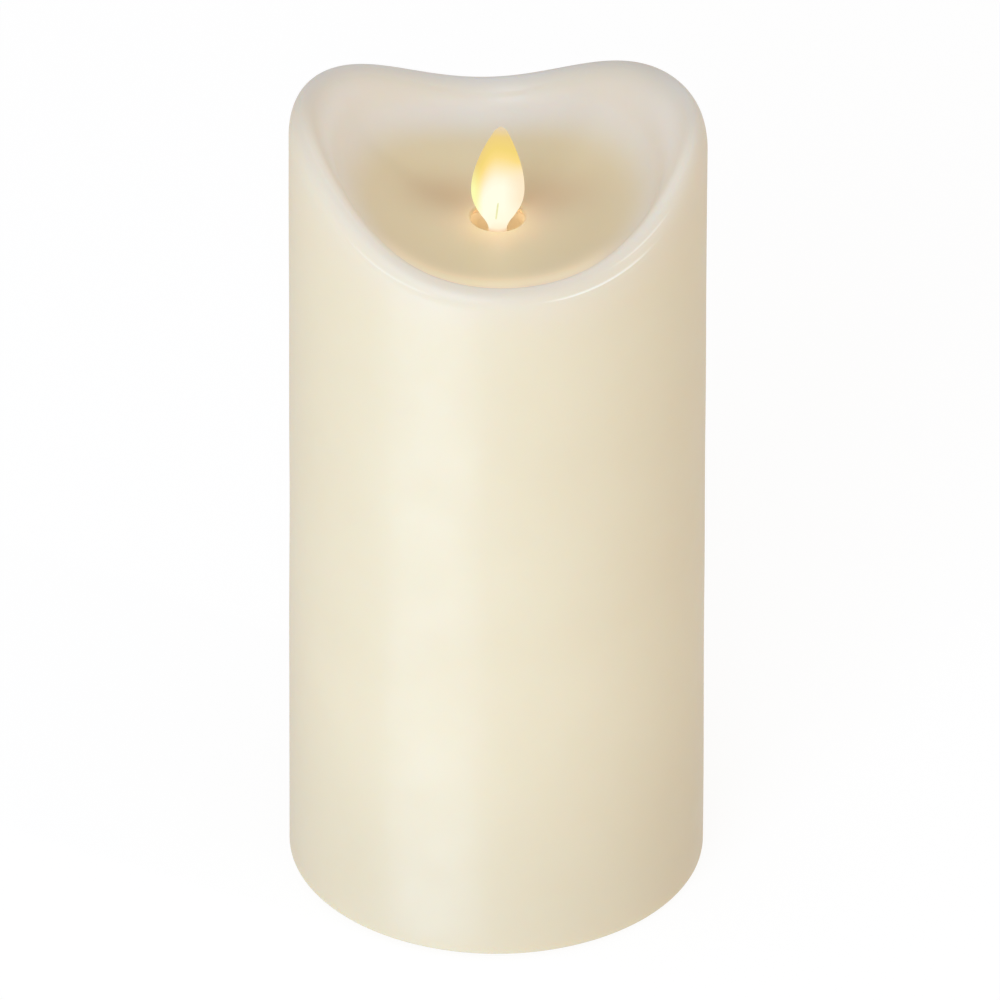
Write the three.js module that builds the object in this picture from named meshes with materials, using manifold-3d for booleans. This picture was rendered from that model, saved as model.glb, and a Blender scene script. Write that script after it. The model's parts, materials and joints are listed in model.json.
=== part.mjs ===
// A flameless LED pillar candle with a swinging flame.
// A cast wax shell with a saddle-shaped rim stands over a plastic liner. A flame paddle hangs on a
// steel wire just below the hole in the recess floor: a magnet at its lower end is kicked by a coil,
// and one LED lights its face. Two C cells, a circuit board and a slide switch fill the lower half,
// closed by a base plate with a hinged door.
// Units are millimetres, +Z is up, -Y is the front, and the origin is the centre of the base.
import * as THREE from "three";
import { mergeVertices } from "three/addons/utils/BufferGeometryUtils.js";
import Module from "manifold-3d";

const wasm = await Module();
wasm.setup();

// ---------------------------------------------------------------- driving dimensions
const GAP = 0.3; // clearance kept between pieces that touch

const BODY_R = 41.25; // 3.25 in pillar
const SHELL_BOTTOM = 1.0;
const SHELL_CHAMFER = 0.8;
const SHELL_BORE_R = 35.75;
const RIM_LOW = 156.9; // mean crest height of the rim at the front and back
const RIM_RISE = 15.8; // how much higher the crest is at the sides
const RIM_FRONT = 0.5; // the front crest stands this much above the mean, the back one below
const RIM_LEAN = 1.6; // the left crest stands this much above the mean, the right one below
const RIM_SHOULDER = 2.8; // fullness of the crest on all four diagonals
const RIM_BACK_SHOULDER = 10.6; // how much fuller the back diagonals are, and leaner the front ones
const RIM_TURN = 0.05; // the saddle is turned by this angle about Z, in radians
const FLOOR_TOP = 149.1; // recess floor at the flame hole
const FLOOR_UNDER = 145;
const HOLE_R = 5.3;
const HOLE_FLARE_R = 8.5;

const LINER_R = SHELL_BORE_R - GAP;
const LINER_WALL = 1.5;
const LINER_TOP = FLOOR_UNDER - GAP;
const LINER_CAP = 1.8;
const LINER_CAP_HOLE_R = 9.2;
const BASE_BOSS_R = 3.6;
const BASE_BOSS_TOP = 14.5;
const FLANGE_BOSS_R = 3;
const BOSS_HOLE_R = 1.5;

const BASE_R = 35.3;
const BASE_LOW = 1.4; // outer face of the base plate
const BASE_HIGH = 4.0;
const ABOVE_BASE = BASE_HIGH + GAP; // what stands on the base plate starts here
const SCREW_HEAD_T = 1.2;
const BASE_SCREW = { headR: 2.5, shankR: 1.2, length: 10 };
const BOX_SCREW = { headR: 2.5, shankR: 1.2, length: 6.5 };
const SWITCH_SCREW = { headR: 1.8, shankR: 0.9, length: 2.4 };
const BOARD_SCREW = { headR: 1.8, shankR: 0.9, length: 3.8 };
const CLAMP_SCREW = { headR: 2.1, shankR: 1, length: 5.6 };
const FLANGE_SCREW = { headR: 2.3, shankR: 1.2, length: 8 };
const SCREW_SEAT_R = 2.9;
const SCREW_SEAT_TOP = BASE_LOW + 1.6;
const SCREW_WAY_R = 1.6;
const BASE_SCREW_CIRCLE_R = 30.9;
const BASE_SCREW_ANGLES = [35, 145, 215, 325];
const BOX_SCREW_PLACES = [
  [10.5, 17.6],
  [-10.5, -17.6],
];
const FOOT_CIRCLE_R = 31;
const FOOT_ANGLES = [60, 120, 240, 300];
const FOOT_R = 3.4;
const FOOT_TOP = 1.9;

const DOOR_HALF_X = 27.8;
const DOOR_FRONT_Y = -13.8;
const DOOR_AXIS_Y = 13.2;
const DOOR_AXIS_Z = 2.5;
const DOOR_HALF_T = 1.1; // half the door's thickness, and the radius of its hinge edge
const DOOR_GAP = 0.4;
const DOOR_PIN_R = 0.55;
const DOOR_PIN_LENGTH = 1.6;
const LATCH_HALF_X = 6;

const CELL_R = 13.1; // C cell
const CELL_BODY = 48.5;
const NUB_R = 3.6;
const NUB_HEIGHT = 1.5;
const CELL_X = 14.2;
const LEFT_CELL_LOW = 7.6; // nub up, standing on the door's spring
const RIGHT_CELL_LOW = 6.1; // nub down, touching the door's bridge plate
const BAY_R = 13.5;
const BAY_TOP = 58.6;
const BOX_R = 15;
const BOX_TOP = 61;
const PLATE_T = 0.4; // spring steel contact plates
const BRIDGE_LOW = 3.9;
const UPPER_PLATE_LOW = 57.9;
const TAG_Y = 12;
const TAG_TOP = 63.2;
const SPRING_WIRE_R = 0.35;
const SPRING_WIDE_R = 5.4;
const SPRING_NARROW_R = 2.4;
const SPRING_TURNS = 3;
const SPRING_REST_GAP = GAP + SPRING_WIRE_R; // from a plate to the middle of the wire

const SWITCH_Y = 25;
const SWITCH_TRAVEL = 4;
const SWITCH_REST_X = -SWITCH_TRAVEL / 2;
const KNOB_HALF_X = 1.3;
const SWITCH_SCREW_X = 10;
const SWITCH_HALF_Y = 3.3;
const SWITCH_EAR_T = 0.8;
const SWITCH_TOP = ABOVE_BASE + 5.2;
const TERMINAL_PITCH = 3;
const TERMINAL_TOP = SWITCH_TOP + 3;

const BOARD_LOW = 64;
const BOARD_TOP = 65.6;
const BOARD_HALF_X = 22;
const BOARD_HALF_Y = 10;
const BOARD_SCREW_X = 19;
const ON_BOARD = BOARD_TOP + GAP; // components stand here

const PIVOT_Z = 137.5;
const WIRE_R = 0.4;
const WIRE_HALF = 12.2;
const WIRE_ROCK_ROOM = 1.5; // how far the wire's slot runs above and below it
const PADDLE_HALF_T = 0.8;
const EYE_R = 3.2;
const EYE_HALF_T = 1.3;
const EYE_HOLE_R = 0.8;
const ARM_HALF_W = 1.5;
const ARM_TOP = 140.6; // the arm widens a little from here to the blade's neck
const NECK_Z = 145.6;
const NECK_HALF_W = 1.85;
const BELLY_Z = 155.6;
const BELLY_HALF_W = 5.25;
const SHOULDER_Z = 169; // the rounded tip starts here
const TIP_Z = 169.85;
const TIP_HALF_W = 1.3;
const TIP_LEAN = 0.6; // how far the tip leans to the right
const CUP_R = 3.7;
const CUP_LOW = 113;
const CUP_TOP = 118;
const MAGNET_R = 2.5;
const MAGNET_HEIGHT = 2.8;

const HOUSING_R = 12.6;
const HOUSING_BORE_R = 10.4;
const HOUSING_LOW = 97;
const HOUSING_TOP = 142.5;
const FLANGE_R = 22;
const FLANGE_LOW = 132.8;
const FLANGE_T = 2.1;
const FLANGE_SCREW_CIRCLE_R = 18.5;
const FLANGE_SCREW_ANGLES = [45, 135, 225, 315];
const CLAMP_X = 16.2;
const CLAMP_Z = 117;
const CLAMP_EAR_HALF = 3.5;
const COIL_FLANGE_R = 11.4;
const COIL_LOW = HOUSING_LOW + 0.6;
const COIL_TOP = COIL_LOW + 10.8;
const COIL_HOLE_R = 1.5;
const COIL_R = 9.5;
const BOBBIN_CORE_R = 3.2;
const BOBBIN_FLANGE_T = 1.6;

// The LED looks up at the flame: its base point, and the direction it shines in.
const LED_BASE = new THREE.Vector3(0, -17.3, 126);
const LED_AIM = new THREE.Vector3(0, 0.512, 0.859).normalize();
const LED_R = 2.5;
const LED_FLANGE_R = 2.9;
const LED_LENGTH = 8.7;
const BARREL_R = 4.4;
const BARREL_BORE_R = 3.25;
const LEG_PITCH = 2.54;
const LEG_LENGTH = 6.7;
const LEG_R = 0.25;

const LEAD_R = 0.65;
const PAD_Z = ON_BOARD + GAP; // where a lead meets its pad on the board

// ---------------------------------------------------------------- materials
const material = (color, roughness, metalness = 0) =>
  new THREE.MeshStandardMaterial({ color, roughness, metalness });
const WAX = material(0xece4cc, 0.5);
const IVORY_PLASTIC = material(0xe6dcc0, 0.55);
const BLACK_PLASTIC = material(0x1b1b1c, 0.5);
const FLAME_PLASTIC = material(0xfff2c4, 0.4);
const STEEL = material(0xb9bcc0, 0.3, 1);
const COPPER = material(0xb56a35, 0.35, 1);
const RUBBER = material(0x2a2a2a, 0.9);
const CELL_SKIN = material(0x2f4858, 0.4);
const BOARD_GREEN = material(0x1f5a3a, 0.6);
const RED_LEAD = material(0xa81f1f, 0.5);
const BLACK_LEAD = material(0x202022, 0.5);
const WHITE_LEAD = material(0xdedcd4, 0.5);
const CLEAR_EPOXY = material(0xfff8e8, 0.1);
const RESISTOR_SKIN = material(0xc9b48a, 0.6);

// ---------------------------------------------------------------- shapes and booleans
const turnUp = (geometry) => geometry.rotateX(Math.PI / 2); // three's Y axis becomes +Z
const alongX = (geometry) => geometry.rotateY(Math.PI / 2);
const alongY = (geometry) => geometry.rotateX(-Math.PI / 2);

function lathe(profile, segments = 32) {
  const points = profile.map(([r, z]) => new THREE.Vector2(r, z));
  return turnUp(new THREE.LatheGeometry(points, segments));
}

const cylinder = (r, low, high, segments = 32) =>
  lathe(
    [
      [0, low],
      [r, low],
      [r, high],
      [0, high],
    ],
    segments,
  );

const tube = (inner, outer, low, high, segments = 32) =>
  lathe(
    [
      [inner, low],
      [outer, low],
      [outer, high],
      [inner, high],
      [inner, low],
    ],
    segments,
  );

function block(lowX, highX, lowY, highY, lowZ, highZ) {
  const made = new THREE.BoxGeometry(highX - lowX, highY - lowY, highZ - lowZ);
  return made.translate((lowX + highX) / 2, (lowY + highY) / 2, (lowZ + highZ) / 2);
}

const extrude = (shape, low, high, curveSegments = 8) =>
  new THREE.ExtrudeGeometry(shape, {
    depth: high - low,
    bevelEnabled: false,
    curveSegments,
  }).translate(0, 0, low);

function roundedRectangle(lowX, highX, lowY, highY, r) {
  const shape = new THREE.Shape();
  shape.moveTo(lowX + r, lowY);
  shape.lineTo(highX - r, lowY);
  shape.absarc(highX - r, lowY + r, r, -Math.PI / 2, 0);
  shape.lineTo(highX, highY - r);
  shape.absarc(highX - r, highY - r, r, 0, Math.PI / 2);
  shape.lineTo(lowX + r, highY);
  shape.absarc(lowX + r, highY - r, r, Math.PI / 2, Math.PI);
  shape.lineTo(lowX, lowY + r);
  shape.absarc(lowX + r, lowY + r, r, Math.PI, 1.5 * Math.PI);
  return shape;
}

// A closed geometry as a manifold solid, and back.
function solid(geometry) {
  const bare = geometry.clone();
  bare.deleteAttribute("normal");
  bare.deleteAttribute("uv");
  const merged = mergeVertices(bare, 1e-4);
  const mesh = new wasm.Mesh({
    numProp: 3,
    vertProperties: new Float32Array(merged.attributes.position.array),
    triVerts: new Uint32Array(merged.index.array),
  });
  return new wasm.Manifold(mesh);
}

function geometryOf(manifold) {
  const mesh = manifold.getMesh();
  const stride = mesh.numProp;
  const positions = new Float32Array(mesh.numVert * 3);
  for (let i = 0; i < mesh.numVert; i += 1) {
    positions.set(mesh.vertProperties.subarray(i * stride, i * stride + 3), i * 3);
  }
  const made = new THREE.BufferGeometry();
  made.setAttribute("position", new THREE.BufferAttribute(positions, 3));
  made.setIndex(new THREE.BufferAttribute(mesh.triVerts, 1));
  return made;
}

const unite = (...geometries) => geometryOf(geometries.map(solid).reduce((all, next) => all.add(next)));

function carve(from, ...tools) {
  return geometryOf(tools.map(solid).reduce((left, tool) => left.subtract(tool), solid(from)));
}

const onCircle = (radius, degrees) => {
  const angle = THREE.MathUtils.degToRad(degrees);
  return [radius * Math.cos(angle), radius * Math.sin(angle)];
};

// Moves a geometry built along +Z onto the LED's sloping axis.
function alongLed(geometry) {
  const turn = new THREE.Quaternion().setFromUnitVectors(new THREE.Vector3(0, 0, 1), LED_AIM);
  return geometry.applyQuaternion(turn).translate(...LED_BASE.toArray());
}

// A round wire through a list of points.
function wire(points, radius, sides, steps) {
  const section = new THREE.Shape();
  for (let i = 0; i < sides; i += 1) {
    const angle = (2 * Math.PI * i) / sides;
    const place = [radius * Math.cos(angle), radius * Math.sin(angle)];
    if (i === 0) section.moveTo(...place);
    else section.lineTo(...place);
  }
  const path = new THREE.CatmullRomCurve3(points.map((p) => new THREE.Vector3(...p)));
  return new THREE.ExtrudeGeometry(section, { steps, extrudePath: path, bevelEnabled: false });
}

const candle = new THREE.Group();
function place(name, geometry, surface) {
  const mesh = new THREE.Mesh(geometry, surface);
  mesh.name = name;
  candle.add(mesh);
}

// ---------------------------------------------------------------- wax shell
// theta runs round the candle from the front, with the right side at +90 degrees.
function rimHeight(theta) {
  const side = Math.sin(theta - RIM_TURN) ** 2;
  const ends = 1 - side;
  const shoulder = RIM_SHOULDER - RIM_BACK_SHOULDER * Math.cos(theta);
  const tilt = RIM_FRONT * Math.cos(theta) * ends - RIM_LEAN * Math.sin(theta) * side;
  return RIM_LOW + RIM_RISE * side + shoulder * side * ends + tilt;
}

// The closed section of the shell at one angle, as [radius, height] points that run up the outside
// and down the inside. The crest is rounded over on both sides, and its inner side falls further
// where the rim is high.
function shellSection(theta) {
  const crest = rimHeight(theta);
  const side = Math.sin(theta - RIM_TURN) ** 2;
  const outer = { width: 2.7, height: 4 + 2.1 * side };
  const inner = { width: 2.8 + 3.7 * side, height: 5 + 8.6 * side };
  const crestR = BODY_R - outer.width;
  const wallR = crestR - inner.width;
  const wallZ = crest - inner.height;
  const bowlR = HOLE_R + 0.6;
  const section = [
    [BODY_R - SHELL_CHAMFER, SHELL_BOTTOM],
    [BODY_R, SHELL_BOTTOM + SHELL_CHAMFER],
  ];
  const roundSteps = 4;
  for (let i = 0; i <= roundSteps; i += 1) {
    const a = ((Math.PI / 2) * i) / roundSteps;
    section.push([crestR + outer.width * Math.cos(a), crest - outer.height * (1 - Math.sin(a))]);
  }
  for (let i = 1; i <= roundSteps; i += 1) {
    const a = ((Math.PI / 2) * i) / roundSteps;
    section.push([crestR - inner.width * Math.sin(a), crest - inner.height * (1 - Math.cos(a))]);
  }
  const bowlSteps = 7;
  for (let i = 1; i <= bowlSteps; i += 1) {
    const share = 1 - i / bowlSteps;
    section.push([bowlR + (wallR - bowlR) * share, FLOOR_TOP + (wallZ - FLOOR_TOP) * share ** 2.3]);
  }
  section.push([HOLE_R, FLOOR_TOP - 0.6]);
  section.push([HOLE_R, FLOOR_TOP - 1.4]);
  section.push([HOLE_FLARE_R, FLOOR_UNDER]);
  section.push([SHELL_BORE_R, FLOOR_UNDER]);
  section.push([SHELL_BORE_R, SHELL_BOTTOM]);
  return section;
}

function waxShell() {
  const around = 64;
  const positions = [];
  const index = [];
  let count = 0;
  for (let i = 0; i < around; i += 1) {
    const theta = (2 * Math.PI * i) / around;
    const section = shellSection(theta);
    count = section.length;
    for (const [r, z] of section) {
      positions.push(r * Math.sin(theta), -r * Math.cos(theta), z);
    }
  }
  for (let i = 0; i < around; i += 1) {
    for (let j = 0; j < count; j += 1) {
      const a = i * count + j;
      const b = i * count + ((j + 1) % count);
      const c = ((i + 1) % around) * count + ((j + 1) % count);
      const d = ((i + 1) % around) * count + j;
      index.push(a, d, c, a, c, b);
    }
  }
  const made = new THREE.BufferGeometry();
  made.setAttribute("position", new THREE.Float32BufferAttribute(positions, 3));
  made.setIndex(index);
  return made;
}
place("wax_shell", waxShell(), WAX);

// ---------------------------------------------------------------- liner
// A tube with a top cap. Four bosses near its foot take the base screws, and four under its cap
// hold the flame housing.
function innerLiner() {
  const wall = lathe(
    [
      [LINER_R - LINER_WALL, ABOVE_BASE],
      [LINER_R, ABOVE_BASE],
      [LINER_R, LINER_TOP],
      [LINER_CAP_HOLE_R, LINER_TOP],
      [LINER_CAP_HOLE_R, LINER_TOP - LINER_CAP],
      [LINER_R - LINER_WALL, LINER_TOP - LINER_CAP],
      [LINER_R - LINER_WALL, ABOVE_BASE],
    ],
    40,
  );
  const bosses = [];
  const holes = [];
  for (const angle of BASE_SCREW_ANGLES) {
    const [x, y] = onCircle(BASE_SCREW_CIRCLE_R, angle);
    bosses.push(cylinder(BASE_BOSS_R, ABOVE_BASE, BASE_BOSS_TOP, 12).translate(x, y, 0));
    holes.push(cylinder(BOSS_HOLE_R, ABOVE_BASE - 1, BASE_BOSS_TOP - 1, 10).translate(x, y, 0));
  }
  const bossLow = FLANGE_LOW + FLANGE_T + GAP;
  for (const angle of FLANGE_SCREW_ANGLES) {
    const [x, y] = onCircle(FLANGE_SCREW_CIRCLE_R, angle);
    bosses.push(cylinder(FLANGE_BOSS_R, bossLow, LINER_TOP - LINER_CAP / 2, 12).translate(x, y, 0));
    holes.push(cylinder(BOSS_HOLE_R, bossLow - 1, bossLow + 7, 10).translate(x, y, 0));
  }
  return carve(unite(wall, ...bosses), ...holes);
}
place("inner_liner", innerLiner(), IVORY_PLASTIC);

// ---------------------------------------------------------------- base plate and its hardware
const DOOR_BACK_Y = DOOR_AXIS_Y + DOOR_HALF_T;
const PIN_END_X = DOOR_HALF_X + DOOR_PIN_LENGTH;

function basePlate() {
  const disc = lathe(
    [
      [0, BASE_LOW],
      [BASE_R - 0.6, BASE_LOW],
      [BASE_R, BASE_LOW + 0.6],
      [BASE_R, BASE_HIGH],
      [0, BASE_HIGH],
    ],
    48,
  );
  const opening = roundedRectangle(
    -DOOR_HALF_X - DOOR_GAP,
    DOOR_HALF_X + DOOR_GAP,
    DOOR_FRONT_Y - DOOR_GAP,
    DOOR_BACK_Y + DOOR_GAP,
    3,
  );
  const cuts = [extrude(opening, BASE_LOW - 1, BASE_HIGH + 1, 4)];
  const openingX = DOOR_HALF_X + DOOR_GAP;
  cuts.push(block(-openingX, openingX, 0, DOOR_BACK_Y + DOOR_GAP, BASE_LOW - 1, BASE_HIGH + 1));
  const socket = cylinder(DOOR_PIN_R + GAP, -PIN_END_X - 0.4, PIN_END_X + 0.4, 12);
  cuts.push(alongX(socket).translate(0, DOOR_AXIS_Y, DOOR_AXIS_Z));
  // A thumb scoop in front of the latch.
  const scoop = new THREE.SphereGeometry(6, 12, 8).scale(1, 0.75, 0.24);
  cuts.push(scoop.translate(0, DOOR_FRONT_Y - DOOR_GAP - 0.4, BASE_LOW));
  for (const angle of BASE_SCREW_ANGLES) {
    const [x, y] = onCircle(BASE_SCREW_CIRCLE_R, angle);
    cuts.push(screwSeat(x, y));
  }
  for (const [x, y] of BOX_SCREW_PLACES) {
    cuts.push(screwSeat(x, y));
  }
  for (const angle of FOOT_ANGLES) {
    const [x, y] = onCircle(FOOT_CIRCLE_R, angle);
    cuts.push(cylinder(FOOT_R + 0.4, BASE_LOW - 1, FOOT_TOP + GAP, 16).translate(x, y, 0));
  }
  const pocket = roundedRectangle(-8, 8, SWITCH_Y - 4, SWITCH_Y + 4, 2);
  cuts.push(extrude(pocket, BASE_LOW - 1, BASE_LOW + 0.9, 4));
  const slotX = SWITCH_TRAVEL / 2 + KNOB_HALF_X + GAP;
  cuts.push(block(-slotX, slotX, SWITCH_Y - 1.6, SWITCH_Y + 1.6, BASE_LOW, BASE_HIGH + 1));
  for (const x of [-SWITCH_SCREW_X, SWITCH_SCREW_X]) {
    cuts.push(cylinder(1.2, BASE_LOW + 1.2, BASE_HIGH + 1, 12).translate(x, SWITCH_Y, 0));
  }
  return carve(disc, ...cuts);
}

// The hole for a base screw: a flat-bottomed seat for the head, and a clearance hole for the shank.
function screwSeat(x, y) {
  const seat = lathe(
    [
      [0, BASE_LOW - 1],
      [SCREW_SEAT_R, BASE_LOW - 1],
      [SCREW_SEAT_R, SCREW_SEAT_TOP],
      [SCREW_WAY_R, SCREW_SEAT_TOP],
      [SCREW_WAY_R, BASE_HIGH + 1],
      [0, BASE_HIGH + 1],
    ],
    12,
  );
  return seat.translate(x, y, 0);
}
place("base_plate", basePlate(), BLACK_PLASTIC);

// A pan-head screw that points up from its head at headZ, with a slot across the head.
function screw({ headR, shankR, length }, headZ) {
  const seatZ = headZ + SCREW_HEAD_T;
  const body = lathe(
    [
      [0, headZ],
      [headR - 0.3, headZ],
      [headR, seatZ],
      [shankR, seatZ],
      [shankR, seatZ + length - shankR],
      [0, seatZ + length],
    ],
    10,
  );
  const slotX = 0.7 * headR;
  return carve(body, block(-slotX, slotX, -0.25, 0.25, headZ - 1, headZ + SCREW_HEAD_T / 2));
}

BASE_SCREW_ANGLES.forEach((angle, i) => {
  const [x, y] = onCircle(BASE_SCREW_CIRCLE_R, angle);
  place(`base_screw_${i + 1}`, screw(BASE_SCREW, BASE_LOW + 0.1).translate(x, y, 0), STEEL);
});
BOX_SCREW_PLACES.forEach(([x, y], i) => {
  place(`box_screw_${i + 1}`, screw(BOX_SCREW, BASE_LOW + 0.1).translate(x, y, 0), STEEL);
});

FOOT_ANGLES.forEach((angle, i) => {
  const [x, y] = onCircle(FOOT_CIRCLE_R, angle);
  const pad = lathe(
    [
      [0, 0],
      [FOOT_R - 0.4, 0],
      [FOOT_R, 0.5],
      [FOOT_R, FOOT_TOP],
      [0, FOOT_TOP],
    ],
    16,
  );
  place(`foot_pad_${i + 1}`, pad.translate(x, y, 0), RUBBER);
});

// ---------------------------------------------------------------- battery door
// A slab with a round hinge edge, a stub pin at each end of that edge, and a sprung latch tongue
// at the front.
function batteryDoor() {
  const low = DOOR_AXIS_Z - DOOR_HALF_T;
  const high = DOOR_AXIS_Z + DOOR_HALF_T;
  const slab = extrude(
    roundedRectangle(-DOOR_HALF_X, DOOR_HALF_X, DOOR_FRONT_Y, DOOR_AXIS_Y, 2.6),
    low,
    high,
    4,
  );
  const backCorners = block(-DOOR_HALF_X, DOOR_HALF_X, 0, DOOR_AXIS_Y, low, high);
  const hingeEdge = alongX(cylinder(DOOR_HALF_T, -DOOR_HALF_X, DOOR_HALF_X, 16));
  const pins = alongX(cylinder(DOOR_PIN_R, -PIN_END_X, PIN_END_X, 12));
  for (const part of [hingeEdge, pins]) {
    part.translate(0, DOOR_AXIS_Y, DOOR_AXIS_Z);
  }
  const nib = block(-3, 3, DOOR_FRONT_Y, DOOR_FRONT_Y + 1.4, high - 0.2, high + 1.1);
  const slots = [-1, 1].map((side) => {
    const x = side * LATCH_HALF_X;
    return block(x - 0.5, x + 0.5, DOOR_FRONT_Y - 1, DOOR_FRONT_Y + 8, low - 1, high + 1);
  });
  // The tongue is thinned at its root, where it bends.
  const rootY = DOOR_FRONT_Y + 6;
  const root = block(-LATCH_HALF_X, LATCH_HALF_X, rootY, rootY + 2, low + 1.1, high + 1);
  const grips = [0, 1, 2].map((i) => {
    const y = DOOR_FRONT_Y + 1.4 + 1.5 * i;
    return block(-4.5, 4.5, y, y + 0.6, low - 1, low + 0.4);
  });
  return carve(unite(slab, backCorners, hingeEdge, pins, nib), ...slots, root, ...grips);
}
place("battery_door", batteryDoor(), BLACK_PLASTIC);

// The bridge on the door's inner face joins the two cells in series. It carries the spring under
// the left cell.
function bridgePlate() {
  const ends = [-CELL_X, CELL_X].map((x) =>
    cylinder(6, BRIDGE_LOW, BRIDGE_LOW + PLATE_T, 20).translate(x, 0, 0),
  );
  const strip = block(-CELL_X, CELL_X, -3, 3, BRIDGE_LOW, BRIDGE_LOW + PLATE_T);
  return unite(strip, ...ends);
}
place("door_bridge_plate", bridgePlate(), STEEL);

// A conical spring about a vertical axis: wide where it starts, narrow at the cell.
function conicalSpring(x, startZ, endZ) {
  const steps = 12 * SPRING_TURNS;
  const points = [];
  for (let i = 0; i <= steps; i += 1) {
    const share = i / steps;
    const radius = SPRING_WIDE_R + (SPRING_NARROW_R - SPRING_WIDE_R) * share;
    const angle = 2 * Math.PI * SPRING_TURNS * share;
    const z = startZ + (endZ - startZ) * share;
    points.push([x + radius * Math.cos(angle), radius * Math.sin(angle), z]);
  }
  return wire(points, SPRING_WIRE_R, 5, steps);
}
const doorSpringLow = BRIDGE_LOW + PLATE_T + SPRING_REST_GAP;
const doorSpringHigh = LEFT_CELL_LOW - SPRING_REST_GAP;
place("door_spring", conicalSpring(-CELL_X, doorSpringLow, doorSpringHigh), STEEL);

// ---------------------------------------------------------------- battery box, cells and contacts
function twinShape(r) {
  const shape = new THREE.Shape();
  shape.absarc(CELL_X, 0, r, -Math.PI / 2, Math.PI / 2);
  shape.absarc(-CELL_X, 0, r, Math.PI / 2, 1.5 * Math.PI);
  return shape;
}

function batteryBox() {
  const outside = extrude(twinShape(BOX_R), ABOVE_BASE, BOX_TOP, 12);
  const ears = BOX_SCREW_PLACES.map(([x, y]) =>
    cylinder(3.4, ABOVE_BASE, 10.5, 12).translate(x, y, 0),
  );
  const posts = [-BOARD_SCREW_X, BOARD_SCREW_X].map((x) =>
    cylinder(2.6, BOX_TOP - 0.5, BOARD_LOW - GAP, 12).translate(x, 0, 0),
  );
  const bays = [-CELL_X, CELL_X].map((x) =>
    cylinder(BAY_R, ABOVE_BASE - 1, BAY_TOP, 28).translate(x, 0, 0),
  );
  const bridgeWay = block(-3, 3, -7, 7, ABOVE_BASE - 1, 6.4);
  const latchWay = block(-3.6, 3.6, -BOX_R - 1, DOOR_FRONT_Y + 2.2, ABOVE_BASE - 1, 5.4);
  const tagWays = [-1, 1].map((side) => {
    const x = side * CELL_X;
    const y = -side * TAG_Y;
    return block(x - 1.9, x + 1.9, y - 0.6, y + 0.6, BAY_TOP - 1, BOX_TOP + 1);
  });
  const earHoles = BOX_SCREW_PLACES.map(([x, y]) =>
    cylinder(1.5, ABOVE_BASE - 1, 9.8, 10).translate(x, y, 0),
  );
  const postHoles = [-BOARD_SCREW_X, BOARD_SCREW_X].map((x) =>
    cylinder(1.2, BOX_TOP - 1.5, BOARD_LOW, 10).translate(x, 0, 0),
  );
  const ways = [bridgeWay, latchWay, ...tagWays];
  return carve(unite(outside, ...ears, ...posts), ...bays, ...ways, ...earHoles, ...postHoles);
}
place("battery_box", batteryBox(), BLACK_PLASTIC);

// A C cell standing on z = 0 with its nub up.
function cell() {
  return lathe(
    [
      [0, 0],
      [CELL_R - 1.6, 0],
      [CELL_R - 0.5, 0.6],
      [CELL_R, 1.2],
      [CELL_R, CELL_BODY - 1],
      [CELL_R - 0.8, CELL_BODY],
      [NUB_R, CELL_BODY],
      [NUB_R - 0.3, CELL_BODY + NUB_HEIGHT],
      [0, CELL_BODY + NUB_HEIGHT],
    ],
    28,
  );
}
place("battery_cell_left", cell().translate(-CELL_X, 0, LEFT_CELL_LOW), CELL_SKIN);
const turnedCell = cell().rotateX(Math.PI);
place("battery_cell_right", turnedCell.translate(CELL_X, 0, RIGHT_CELL_LOW + CELL_BODY), CELL_SKIN);

// A contact plate under the box's top wall, with a tag that passes up through the wall for the lead.
function upperContact(side) {
  const x = side * CELL_X;
  const y = -side * TAG_Y;
  const high = UPPER_PLATE_LOW + PLATE_T;
  return unite(
    cylinder(6, UPPER_PLATE_LOW, high, 20).translate(x, 0, 0),
    block(x - 1.5, x + 1.5, Math.min(0, y - 0.2), Math.max(0, y + 0.2), UPPER_PLATE_LOW, high),
    block(x - 1.5, x + 1.5, y - 0.2, y + 0.2, UPPER_PLATE_LOW, TAG_TOP),
  );
}
place("upper_positive_contact", upperContact(-1), STEEL);
place("upper_negative_contact", upperContact(1), STEEL);
const upperSpringLow = RIGHT_CELL_LOW + CELL_BODY + SPRING_REST_GAP;
const upperSpringHigh = UPPER_PLATE_LOW - SPRING_REST_GAP;
place("upper_spring", conicalSpring(CELL_X, upperSpringHigh, upperSpringLow), STEEL);

// ---------------------------------------------------------------- slide switch
function switchBody() {
  const [frontY, backY] = [SWITCH_Y - SWITCH_HALF_Y, SWITCH_Y + SWITCH_HALF_Y];
  const can = block(-6.5, 6.5, frontY, backY, ABOVE_BASE, SWITCH_TOP);
  const ears = extrude(
    roundedRectangle(-12.6, 12.6, frontY, backY, 1.5),
    ABOVE_BASE,
    ABOVE_BASE + SWITCH_EAR_T,
    3,
  );
  const terminals = [-TERMINAL_PITCH, 0, TERMINAL_PITCH].map((x) =>
    block(x - 0.6, x + 0.6, SWITCH_Y - 0.2, SWITCH_Y + 0.2, SWITCH_TOP - 0.2, TERMINAL_TOP),
  );
  const slotX = SWITCH_TRAVEL / 2 + KNOB_HALF_X + GAP;
  const slot = block(-slotX, slotX, SWITCH_Y - 1.5, SWITCH_Y + 1.5, ABOVE_BASE - 1, ABOVE_BASE + 2.6);
  const holes = [-SWITCH_SCREW_X, SWITCH_SCREW_X].map((x) =>
    cylinder(1.2, ABOVE_BASE - 1, ABOVE_BASE + 2, 12).translate(x, SWITCH_Y, 0),
  );
  return carve(unite(can, ears, ...terminals), slot, ...holes);
}
place("switch_body", switchBody(), STEEL);

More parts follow.
